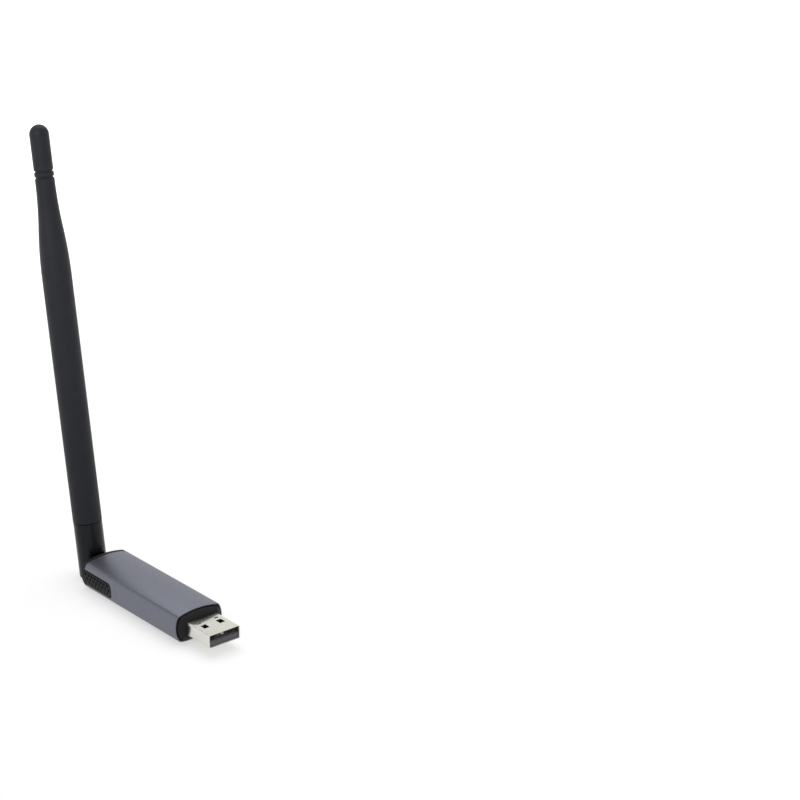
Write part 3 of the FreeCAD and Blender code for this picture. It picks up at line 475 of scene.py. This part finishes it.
# The pockets in the grips of the frame's end cap, and how far their mouths are widened
GRIP_REAR = -25.45 * MM
GRIP_TOP = 6.3 * MM
GRIP_SINK = 0.1 * MM
DIMPLE_PITCH = 1.82 * MM
DIMPLE_ROW_PITCH = 1.35 * MM
DIMPLE_ROWS, DIMPLE_COLUMNS = 3, 8
DIMPLE_HALF = (0.475 * MM, 0.525 * MM)
DIMPLE_MOUTH, DIMPLE_REACH = 1.35, 1.45
GRIP_MATCH = 0.03 * MM
LEAST_REACH = 1e-9


def read_places(mesh):
    """A mesh's points as rows (x, y, z)."""
    places = np.empty(len(mesh.vertices) * 3)
    mesh.vertices.foreach_get("co", places)
    return places.reshape(-1, 3)


def case_middle():
    """Half the case's height."""
    return bpy.context.scene.stick_case.height / 2


def grip_surface(z):
    """Half the width across the grip at height z: the case's bowed side, a little sunk."""
    radius = SIDE_RADIUS - GRIP_SINK
    middle = bpy.context.scene.stick_case.width / 2 - SIDE_RADIUS
    return middle + np.sqrt(radius ** 2 - (z - case_middle()) ** 2)


def flare_dimples(mesh):
    """Turns the grip's straight lozenge pockets into tapered ones. A point's distance from its
    pocket's middle is |x| / half length + |z| / half height, which is 1 on the rim. On the grip's
    surface the rim moves out by the factor DIMPLE_MOUTH, and what lies past it by less, down to
    nothing at DIMPLE_REACH. The pocket's floor stays."""
    x, y, z = read_places(mesh).T
    row = np.clip(np.round((GRIP_TOP - z) / DIMPLE_ROW_PITCH), 0, DIMPLE_ROWS - 1)
    start = GRIP_REAR + (row % 2) * DIMPLE_PITCH / 2
    column = np.clip(np.round((x - start) / DIMPLE_PITCH), 0, DIMPLE_COLUMNS - 1)
    middle_x, middle_z = start + column * DIMPLE_PITCH, GRIP_TOP - row * DIMPLE_ROW_PITCH
    across, up = x - middle_x, z - middle_z
    reach = np.abs(across) / DIMPLE_HALF[0] + np.abs(up) / DIMPLE_HALF[1]
    level = np.abs(z - case_middle()) < SIDE_RADIUS - GRIP_SINK
    surface = grip_surface(np.where(level, z, case_middle()))
    on_grip = level & (np.abs(np.abs(y) - surface) < GRIP_MATCH) & (reach < DIMPLE_REACH)
    fade = (DIMPLE_REACH - DIMPLE_MOUTH) / (DIMPLE_REACH - 1)
    moved = np.where(reach < 1, reach * DIMPLE_MOUTH, DIMPLE_MOUTH + (reach - 1) * fade)
    factor = np.where(on_grip, moved / np.maximum(reach, LEAST_REACH), 1)
    z = middle_z + up * factor
    y = np.where(on_grip, np.sign(y) * grip_surface(np.where(on_grip, z, case_middle())), y)
    places = np.stack([middle_x + across * factor, y, z], -1)
    mesh.vertices.foreach_set("co", places.ravel())


# The chamfer at the rear of the frame's end cap, and the smaller one that takes its place
CAP_REAR = -27.85 * MM
CAP_BREAK = 0.6 * MM
CAP_NEW_BREAK = 0.2 * MM
CAP_INSET = 0.05 * MM
CAP_RIM_SHARES = np.array([0.4, 0.8])
CAP_MATCH = 0.02 * MM


def fill_rim(mesh):
    """Makes the chamfer round the end cap's rear smaller: its front edge moves back, and its rear
    edge moves out by scaling across and up from the section's middle. A point of the rear face is
    on that edge if it lies past the rim's share of half the width or of half the height."""
    case = bpy.context.scene.stick_case
    places = read_places(mesh)
    front_edge = np.abs(places[:, 0] - (CAP_REAR + CAP_BREAK)) < CAP_MATCH
    places[front_edge, 0] = CAP_REAR + CAP_NEW_BREAK
    half = np.array([case.width / 2, case.height / 2]) - CAP_INSET
    middle = np.array([0.0, case_middle()])
    off = places[:, 1:] - middle
    on_rim = (np.abs(off) > CAP_RIM_SHARES * half).any(axis=1)
    rear_edge = (np.abs(places[:, 0] - CAP_REAR) < CAP_MATCH) & on_rim
    grown = middle + off * (half - CAP_NEW_BREAK) / (half - CAP_BREAK)
    places[rear_edge, 1:] = grown[rear_edge]
    mesh.vertices.foreach_set("co", places.ravel())


# For the frame's own meshes, distances in metres and turns in degrees
MERGE_DISTANCE = 2e-6
MERGED_EDGE = 1e-7
FLAT_TURN = 0.6
CUT_TURN = 25.0


def softened(name, node, body, material, width, reshape=()):
    """A node's own shape with its sharp edges rounded: a merged copy, reshaped where asked, whose
    flat faces are made whole, with a bevel on every edge that turns by more than CUT_TURN."""
    mesh = frame["nodes"][node].data.copy()
    mesh.name = name
    work = bmesh.new()
    work.from_mesh(mesh)
    bmesh.ops.remove_doubles(work, verts=work.verts, dist=MERGE_DISTANCE)
    bmesh.ops.dissolve_degenerate(work, edges=work.edges, dist=MERGED_EDGE)
    if reshape:
        work.to_mesh(mesh)
        for change in reshape:
            change(mesh)
        work.clear()
        work.from_mesh(mesh)
    bmesh.ops.dissolve_limit(work, angle_limit=math.radians(FLAT_TURN), verts=work.verts,
                             edges=work.edges)
    work.to_mesh(mesh)
    work.free()
    piece = add_piece(name, mesh, body, node, material, CUT_TURN)
    round_edges(piece, width, CUT_TURN)


def build_mouldings(context):
    """The end cap and the fork, with the rounds that a mould leaves on their edges. The fork's are
    half as wide."""
    edge = context.scene.stick_moulding.edge
    softened("cap", "end_cap", "stick", textured_black(context), edge,
             reshape=(flare_dimples, fill_rim))
    softened("fork", "antenna_base", "antenna", smooth_black(context), edge / 2)


def build_plug(context):
    """The plug's steel shell and its tongue, with their cut edges rounded."""
    plug = context.scene.stick_plug
    softened("plug_shell", "usb_shell", "stick", nickel(context), plug.shell_edge)
    softened("plug_tongue", "usb_insulator", "stick", tongue_plastic(context),
             plug.tongue_edge)


def hinge_place():
    """A point of the hinge's axis, from the frame's joint."""
    return np.array(frame["joints"][0]["pos_m"])


def antenna_place(radius, height, turn, lean, hinge):
    """Points of a body of revolution: radius times the turn's cosine and sine, and the height, then
    leaned back about the hinge."""
    x = radius * np.cos(turn)
    y = radius * np.sin(turn)
    z = height + 0 * x
    c, s = math.cos(lean), math.sin(lean)
    return np.stack([hinge[0] + x * c - z * s, hinge[1] + y, hinge[2] + x * s + z * c], -1)


# The whip's lengths, its two grooves, its foot, its stepped bore and how many points it has
TIP_LENGTH = 18.1 * MM
TAPER_LENGTH = 32.1 * MM
GROOVE_HEIGHTS = (0.9 * MM, 2.9 * MM)
GROOVE_SIZE = 0.36 * MM
GROOVE_POWER = 4
WHIP_FOOT = 14.2 * MM
FOOT_ROUND = 0.05 * MM
SOCKET_RADIUS, SOCKET_TOP = 3.55 * MM, 21.25 * MM
BORE_RADIUS, BORE_TOP = 3.1 * MM, 88 * MM
ROD_RADIUS, ROD_COVER = 0.7 * MM, 11.65 * MM
DOME_STEPS, NECK_STEPS, TAPER_STEPS, POST_STEPS, ROUND_STEPS = 18, 150, 60, 25, 96


def taper_curve(tip, big, end, start):
    """The taper from its slim end down to its wide start: two equal arcs, tangent to each other, to
    the neck and to the post. Their radius is (run squared + drop squared) / (4 times the drop)."""
    run, drop = end - start, big - tip
    bend = (run ** 2 + drop ** 2) / (4 * drop)
    z = np.linspace(end, start, TAPER_STEPS)[1:]
    from_end = end - z
    near_tip = tip + bend - np.sqrt(bend ** 2 - np.minimum(from_end, run / 2) ** 2)
    from_start = np.clip(z - start, 0, run / 2)
    near_post = big - bend + np.sqrt(bend ** 2 - from_start ** 2)
    return np.column_stack([np.where(from_end < run / 2, near_tip, near_post), z])


def whip_profile(whip):
    """The rubber cover's half section (radius, height) from tip to foot and up its bore: a quarter
    circle, a straight neck less two dips of the form e to the minus (distance / size) to the fourth,
    a taper, a straight post, a small quarter circle, and the stepped bore for fork, tube and rod."""
    big, tip, top = whip.diameter / 2, whip.tip_diameter / 2, whip.length
    taper_end = top - TIP_LENGTH
    taper_start = taper_end - TAPER_LENGTH
    turn = np.linspace(0, math.pi / 2, DOME_STEPS)
    dome = np.column_stack([tip * np.sin(turn), top - tip + tip * np.cos(turn)])
    heights = np.linspace(top - tip, taper_end, NECK_STEPS)[1:]
    dips = [taper_end + height for height in GROOVE_HEIGHTS]
    depth = sum(np.exp(-((heights - z) / GROOVE_SIZE) ** GROOVE_POWER) for z in dips)
    neck = np.column_stack([tip - GROOVE_SIZE * depth, heights])
    taper = taper_curve(tip, big, taper_end, taper_start)
    post = np.column_stack([np.full(POST_STEPS - 1, big),
                            np.linspace(taper_start, WHIP_FOOT + FOOT_ROUND, POST_STEPS)[1:]])
    curl = np.column_stack([big - FOOT_ROUND + FOOT_ROUND * np.cos(turn[1:]),
                            WHIP_FOOT + FOOT_ROUND - FOOT_ROUND * np.sin(turn[1:])])
    rod_top = top - ROD_COVER
    bore = np.array([[SOCKET_RADIUS, WHIP_FOOT], [SOCKET_RADIUS, SOCKET_TOP],
                     [BORE_RADIUS, SOCKET_TOP], [BORE_RADIUS, BORE_TOP],
                     [ROD_RADIUS, BORE_TOP], [ROD_RADIUS, rod_top], [0, rod_top]])
    return np.concatenate([dome, neck, taper, post, curl, bore])


def build_whip(context):
    """The rubber cover, its half section turned about the antenna's axis."""
    whip = context.scene.stick_whip
    profile = whip_profile(whip)
    turn = np.linspace(0, 2 * math.pi, ROUND_STEPS, endpoint=False)
    points = antenna_place(profile[:, :1], profile[:, 1:], turn[None, :], whip.lean, hinge_place())
    patch = (points, grid_faces(*points.shape[:2], wrap=True))
    make_piece("whip", [patch], "antenna", "whip_boot", rubber(context))


# Finishes

NOISE_MIDDLE = (0.3, 0.7)
PLAIN_GRAIN = 2500


def map_range(tree, value, span, result, kind="SMOOTHSTEP"):
    """A value's span carried over to a range of results, in a soft curve or, if LINEAR, a line."""
    node = tree.nodes.new("ShaderNodeMapRange")
    node.interpolation_type = kind
    for name, number in zip(("From Min", "From Max", "To Min", "To Max"), span + result):
        node.inputs[name].default_value = number
    tree.links.new(value, node.inputs["Value"])
    return node.outputs["Result"]


def larger(tree, a, b):
    """The larger of two values."""
    node = tree.nodes.new("ShaderNodeMath")
    node.operation = "MAXIMUM"
    tree.links.new(a, node.inputs[0])
    tree.links.new(b, node.inputs[1])
    return node.outputs[0]


class Finish:
    """A Principled surface whose colour, roughness and bump come from noise in the part's frame."""

    def __init__(self, name, colour, roughness, metallic=0.0, specular=0.5):
        self.material = bpy.data.materials.new(name)
        self.material.use_nodes = True
        self.tree = self.material.node_tree
        self.shader = self.tree.nodes["Principled BSDF"]
        self.place = self.tree.nodes.new("ShaderNodeTexCoord").outputs["Object"]
        self.colour = tuple(colour) + (1.0,)
        self.roughness = roughness
        self.shader.inputs["Base Color"].default_value = self.colour
        self.shader.inputs["Roughness"].default_value = roughness
        self.shader.inputs["Metallic"].default_value = metallic
        self.shader.inputs["Specular IOR Level"].default_value = specular

    def link(self, a, b):
        """Joins an output to an input."""
        self.tree.links.new(a, b)

    def noise(self, scale, detail, stretch=(1, 1, 1)):
        """Noise in the part's frame, with about scale lumps to a metre and detail finer layers;
        stretch scales its axes, so that streaks can run along one."""
        mapping = self.tree.nodes.new("ShaderNodeMapping")
        mapping.inputs["Scale"].default_value = stretch
        self.link(self.place, mapping.inputs["Vector"])
        noise = self.tree.nodes.new("ShaderNodeTexNoise")
        noise.inputs["Scale"].default_value = scale
        noise.inputs["Detail"].default_value = detail
        self.link(mapping.outputs["Vector"], noise.inputs["Vector"])
        return noise.outputs["Fac"]

    def ramp(self, value, low, high):
        """Noise's middle range carried over to a range of values."""
        return map_range(self.tree, value, NOISE_MIDDLE, (low, high), "LINEAR")

    def vary_colour(self, value, spread):
        """The colour's brightness varies by spread, up and down, with a noise."""
        node = self.tree.nodes.new("ShaderNodeMix")
        node.data_type = "RGBA"
        node.inputs["A"].default_value = [c * (1 - spread) for c in self.colour[:3]] + [1.0]
        node.inputs["B"].default_value = [c * (1 + spread) for c in self.colour[:3]] + [1.0]
        self.link(self.ramp(value, 0, 1), node.inputs["Factor"])
        self.link(node.outputs["Result"], self.shader.inputs["Base Color"])

    def vary_roughness(self, value, spread):
        """The roughness varies by spread, up and down, with a noise."""
        low, high = self.roughness - spread, self.roughness + spread
        self.link(self.ramp(value, low, high), self.shader.inputs["Roughness"])

    def bump(self, value, depth, strength):
        """A noise as a height of the given depth in metres, at a share of its full strength."""
        node = self.tree.nodes.new("ShaderNodeBump")
        node.inputs["Strength"].default_value = strength
        node.inputs["Distance"].default_value = depth
        self.link(value, node.inputs["Height"])
        self.link(node.outputs["Normal"], self.shader.inputs["Normal"])


def anodised(context):
    """Bead-blasted aluminium with a blue-grey anodised skin: a fine even grain."""
    colour = context.scene.stick_case.colour
    finish = Finish("anodised_aluminium", colour, roughness=0.42, metallic=1.0)
    finish.vary_colour(finish.noise(scale=900, detail=4), spread=0.04)
    finish.vary_roughness(finish.noise(scale=2600, detail=3), spread=0.04)
    finish.bump(finish.noise(scale=9000, detail=2), depth=4e-6, strength=0.5)
    return finish.material


def textured_black(context):
    """Black plastic with the fine spark texture of its mould."""
    colour = context.scene.stick_moulding.colour
    finish = Finish("textured_black", colour, roughness=0.55, specular=0.22)
    finish.vary_colour(finish.noise(scale=1500, detail=4), spread=0.15)
    finish.vary_roughness(finish.noise(scale=2500, detail=3), spread=0.06)
    finish.bump(finish.noise(scale=5200, detail=4), depth=1.4e-5, strength=0.6)
    return finish.material


def smooth_black(context):
    """The fork's smoother black plastic."""
    colour = context.scene.stick_moulding.fork_colour
    finish = Finish("smooth_black", colour, roughness=0.28, specular=0.2)
    finish.vary_roughness(finish.noise(scale=700, detail=4), spread=0.03)
    finish.bump(finish.noise(scale=1800, detail=3), depth=2e-6, strength=0.4)
    return finish.material


def rubber(context):
    """The whip's matte rubber, with a faint cloudiness and a fine grain."""
    colour = context.scene.stick_whip.colour
    finish = Finish("whip_rubber", colour, roughness=0.52, specular=0.2)
    finish.vary_colour(finish.noise(scale=220, detail=5), spread=0.12)
    finish.vary_roughness(finish.noise(scale=1200, detail=3), spread=0.05)
    finish.bump(finish.noise(scale=4200, detail=3), depth=1.2e-5, strength=0.5)
    return finish.material


def nickel(context):
    """The plug's bright nickel plate, faintly drawn along the plug."""
    colour = context.scene.stick_plug.colour
    finish = Finish("bright_nickel", colour, roughness=0.16, metallic=1.0)
    finish.vary_colour(finish.noise(scale=1600, detail=3), spread=0.03)
    finish.vary_roughness(finish.noise(scale=1400, detail=4, stretch=(0.15, 1, 1)), spread=0.02)
    finish.bump(finish.noise(scale=2400, detail=3, stretch=(0.1, 1, 1)), depth=4e-7, strength=0.4)
    return finish.material


def tongue_plastic(context):
    """The tongue's dark grey plastic."""
    return plain("tongue_plastic", context.scene.stick_plug.tongue_colour, 0.45)


def plain(name, colour, roughness, metallic=0.0):
    """A finish for the tongue and the inner pieces: one colour with a fine grain."""
    finish = Finish(name, colour, roughness, metallic)
    finish.vary_colour(finish.noise(scale=PLAIN_GRAIN / 3, detail=3), spread=0.12)
    finish.vary_roughness(finish.noise(scale=PLAIN_GRAIN, detail=3), spread=0.05)
    finish.bump(finish.noise(scale=PLAIN_GRAIN * 2, detail=2), depth=6e-6, strength=0.5)
    return finish.material


def dress_frame_nodes():
    """Gives each node of the frame that is kept its finish."""
    gold = plain("gold_plate", (0.7, 0.63, 0.47), roughness=0.28, metallic=1.0)
    tin = plain("tin_plate", (0.62, 0.62, 0.6), roughness=0.35, metallic=1.0)
    steel = plain("pin_steel", (0.5, 0.5, 0.5), roughness=0.3, metallic=1.0)
    brass = plain("feed_brass", (0.72, 0.5, 0.2), roughness=0.35, metallic=1.0)
    epoxy = plain("chip_epoxy", (0.02, 0.02, 0.022), roughness=0.5)
    mask = plain("board_mask", (0.01, 0.05, 0.03), roughness=0.35)
    ceramic = plain("ceramic", (0.25, 0.16, 0.09), roughness=0.5)
    jacket = plain("lead_jacket", (0.02, 0.02, 0.02), roughness=0.45)
    finishes = {
        "usb_contacts": gold,
        "circuit_board": mask,
        "shield_can": tin,
        "radio_chip": epoxy,
        "usb_bridge_chip": epoxy,
        "crystal": tin,
        "voltage_regulator": epoxy,
        "passives": ceramic,
        "coax_socket": gold,
        "coax_plug": gold,
        "case_lead": jacket,
        "hinge_pin": steel,
        "antenna_lead": jacket,
        "feed_tube": brass,
        "radiator": brass,
    }
    for node, material in finishes.items():
        mesh = frame["nodes"][node].data
        mesh.materials.clear()
        mesh.materials.append(material)


# The stage

SENSOR_WIDTH = 36
FAR_CLIP = 50
TABLE_HALF = 8.0
# Distances from the stick in metres, between which the table's whiteness grows
WHITENING = (0.2, 0.6)
# Upward shares of a line of sight between which the walls give way to the ceiling
WALL_TO_CEILING = (0.34, 0.8)
# The lamps, in metres
SOFTBOX = {"place": (-0.51, 0.45, 1.65), "aim": (0, 0, 0.03), "size": (1.8, 1.5)}
FRONT_LAMP = {"place": (0.10, -0.27, 0.30), "aim": (-0.05, 0, 0.13), "size": (0.15, 0.15),
              "spread": math.radians(32)}


def camera_turn(stage):
    """The camera's axes as a matrix: its right, its up and the back of its line of sight."""
    level = math.cos(stage.camera_pitch)
    sight = Vector((level * math.cos(stage.camera_azimuth), level * math.sin(stage.camera_azimuth),
                    -math.sin(stage.camera_pitch)))
    right = sight.cross(Vector((0, 0, 1))).normalized()
    up = right.cross(sight)
    c, s = math.cos(stage.camera_roll), math.sin(stage.camera_roll)
    right, up = c * right + s * up, c * up - s * right
    return Matrix((right, up, -sight)).transposed().to_4x4()


def build_camera(context):
    """The camera that sees what the photograph saw."""
    stage = context.scene.stick_stage
    data = bpy.data.cameras.new("camera")
    data.sensor_width = SENSOR_WIDTH
    data.lens = stage.lens
    data.clip_end = FAR_CLIP
    camera = bpy.data.objects.new("camera", data)
    camera.matrix_world = Matrix.Translation(stage.camera_place) @ camera_turn(stage)
    context.scene.collection.objects.link(camera)
    context.scene.camera = camera


def table_material(stage):
    """A pale table that the camera and reflections see as white, and that still takes shadows. Its
    whiteness grows with the distance from the stick."""
    material = bpy.data.materials.new("pale_table")
    material.use_nodes = True
    tree = material.node_tree
    tree.nodes.clear()
    out = tree.nodes.new("ShaderNodeOutputMaterial")
    diffuse = tree.nodes.new("ShaderNodeBsdfDiffuse")
    diffuse.inputs["Color"].default_value = tuple(stage.table_colour) + (1.0,)
    reach = tree.nodes.new("ShaderNodeVectorMath")
    reach.operation = "LENGTH"
    tree.links.new(tree.nodes.new("ShaderNodeTexCoord").outputs["Object"], reach.inputs[0])
    whiteness = map_range(tree, reach.outputs["Value"], WHITENING, (stage.table_glow, 1.0))
    glow = tree.nodes.new("ShaderNodeEmission")
    tree.links.new(whiteness, glow.inputs["Strength"])
    blank = tree.nodes.new("ShaderNodeEmission")
    blank.inputs["Strength"].default_value = 0.0
    choose = tree.nodes.new("ShaderNodeMixShader")
    add = tree.nodes.new("ShaderNodeAddShader")
    path = tree.nodes.new("ShaderNodeLightPath")
    seen = larger(tree, path.outputs["Is Camera Ray"], mirrored_rays(tree, path))
    tree.links.new(seen, choose.inputs["Fac"])
    tree.links.new(blank.outputs[0], choose.inputs[1])
    tree.links.new(glow.outputs[0], choose.inputs[2])
    tree.links.new(diffuse.outputs[0], add.inputs[0])
    tree.links.new(choose.outputs[0], add.inputs[1])
    tree.links.new(add.outputs[0], out.inputs["Surface"])
    return material


def mirrored_rays(tree, path):
    """1 for glossy and transmission rays, and 0 for the rest."""
    return larger(tree, path.outputs["Is Glossy Ray"], path.outputs["Is Transmission Ray"])


def build_world(context):
    """A pale room: white to the camera, white walls under a dimmer ceiling in reflections, and an
    even softer light."""
    stage = context.scene.stick_stage
    world = bpy.data.worlds.new("room")
    world.use_nodes = True
    tree = world.node_tree
    background = tree.nodes["Background"]
    background.inputs["Color"].default_value = (1, 1, 1, 1)
    split = tree.nodes.new("ShaderNodeSeparateXYZ")
    tree.links.new(tree.nodes.new("ShaderNodeTexCoord").outputs["Generated"], split.inputs[0])
    walls = map_range(tree, split.outputs["Z"], WALL_TO_CEILING, (1.0, stage.ceiling))
    path = tree.nodes.new("ShaderNodeLightPath")
    choose = tree.nodes.new("ShaderNodeMix")
    choose.inputs["A"].default_value = stage.fill
    tree.links.new(walls, choose.inputs["B"])
    tree.links.new(mirrored_rays(tree, path), choose.inputs["Factor"])
    strength = larger(tree, path.outputs["Is Camera Ray"], choose.outputs["Result"])
    tree.links.new(strength, background.inputs["Strength"])
    context.scene.world = world


def build_lamp(context, name, place, aim, size, power, spread=math.pi):
    """A rectangular softbox at a place, turned towards its aim, its beam as wide as its spread."""
    data = bpy.data.lights.new(name, "AREA")
    data.shape = "RECTANGLE"
    data.size, data.size_y = size
    data.energy = power
    data.spread = spread
    lamp = bpy.data.objects.new(name, data)
    lamp.visible_camera = False
    place, aim = Vector(place), Vector(aim)
    lamp.matrix_world = Matrix.Translation(place) @ (
        (aim - place).to_track_quat("-Z", "Y").to_matrix().to_4x4())
    context.scene.collection.objects.link(lamp)


def build_lights(context):
    """A large softbox high behind the case, and a small one whose narrow beam is on the tip."""
    stage = context.scene.stick_stage
    build_lamp(context, "softbox", power=stage.key, **SOFTBOX)
    build_lamp(context, "front_lamp", power=stage.front, **FRONT_LAMP)


def build_table(context):
    """The table under the stick."""
    half = TABLE_HALF
    mesh = bpy.data.meshes.new("table")
    corners = [(-half, -half, 0), (half, -half, 0), (half, half, 0), (-half, half, 0)]
    mesh.from_pydata(corners, [], [(0, 1, 2, 3)])
    mesh.materials.append(table_material(context.scene.stick_stage))
    table = bpy.data.objects.new("table", mesh)
    context.scene.collection.objects.link(table)


# Operators and panel

class STICK_OT_build_stage(bpy.types.Operator):
    """Sets up the camera, the table and the light"""

    bl_idname = "stick.build_stage"
    bl_label = "Stage"

    def execute(self, context):
        context.scene.view_settings.view_transform = "Standard"
        build_camera(context)
        build_world(context)
        build_lights(context)
        build_table(context)
        return {"FINISHED"}


class STICK_OT_build_case(bpy.types.Operator):
    """Builds the aluminium case"""

    bl_idname = "stick.build_case"
    bl_label = "Case"

    def execute(self, context):
        build_case(context)
        return {"FINISHED"}


class STICK_OT_build_bezel(bpy.types.Operator):
    """Builds the moulded frame round the plug"""

    bl_idname = "stick.build_bezel"
    bl_label = "Plug frame"

    def execute(self, context):
        build_bezel(context)
        return {"FINISHED"}


class STICK_OT_build_mouldings(bpy.types.Operator):
    """Builds the end cap and the fork"""

    bl_idname = "stick.build_mouldings"
    bl_label = "End cap and fork"

    def execute(self, context):
        build_mouldings(context)
        return {"FINISHED"}


class STICK_OT_build_plug(bpy.types.Operator):
    """Builds the plug's shell and tongue"""

    bl_idname = "stick.build_plug"
    bl_label = "Plug"

    def execute(self, context):
        build_plug(context)
        return {"FINISHED"}


class STICK_OT_build_whip(bpy.types.Operator):
    """Builds the antenna's rubber cover"""

    bl_idname = "stick.build_whip"
    bl_label = "Whip"

    def execute(self, context):
        build_whip(context)
        return {"FINISHED"}


class STICK_OT_dress_nodes(bpy.types.Operator):
    """Gives the frame's own pieces their finishes"""

    bl_idname = "stick.dress_nodes"
    bl_label = "Finishes"

    def execute(self, context):
        dress_frame_nodes()
        return {"FINISHED"}


class STICK_PT_panel(bpy.types.Panel):
    """Lists the stick's settings and builders"""

    bl_idname = "STICK_PT_panel"
    bl_label = "Radio stick"
    bl_space_type = "VIEW_3D"
    bl_region_type = "UI"
    bl_category = "Radio stick"

    def draw(self, context):
        layout = self.layout
        for group in GROUPS:
            box = layout.box()
            settings = getattr(context.scene, group)
            for name in settings.__annotations__:
                box.prop(settings, name)
        for operator in OPERATORS:
            layout.operator(operator.bl_idname)


GROUPS = {
    "stick_case": CaseSettings,
    "stick_moulding": MouldingSettings,
    "stick_plug": PlugSettings,
    "stick_whip": WhipSettings,
    "stick_stage": StageSettings,
}
OPERATORS = (
    STICK_OT_build_stage,
    STICK_OT_dress_nodes,
    STICK_OT_build_case,
    STICK_OT_build_bezel,
    STICK_OT_build_mouldings,
    STICK_OT_build_plug,
    STICK_OT_build_whip,
)


def register():
    """Registers the settings, the operators and the panel."""
    for name, group in GROUPS.items():
        bpy.utils.register_class(group)
        setattr(bpy.types.Scene, name, bpy.props.PointerProperty(type=group))
    for operator in OPERATORS:
        bpy.utils.register_class(operator)
    bpy.utils.register_class(STICK_PT_panel)


def unregister():
    """Takes the panel, the operators and the settings away again."""
    bpy.utils.unregister_class(STICK_PT_panel)
    for operator in reversed(OPERATORS):
        bpy.utils.unregister_class(operator)
    for name, group in reversed(GROUPS.items()):
        delattr(bpy.types.Scene, name)
        bpy.utils.unregister_class(group)


def main():
    """Registers the classes and runs the builders in order."""
    register()
    bpy.ops.stick.build_stage()
    bpy.ops.stick.dress_nodes()
    bpy.ops.stick.build_case()
    bpy.ops.stick.build_bezel()
    bpy.ops.stick.build_mouldings()
    bpy.ops.stick.build_plug()
    bpy.ops.stick.build_whip()


if __name__ == "__main__":
    main()
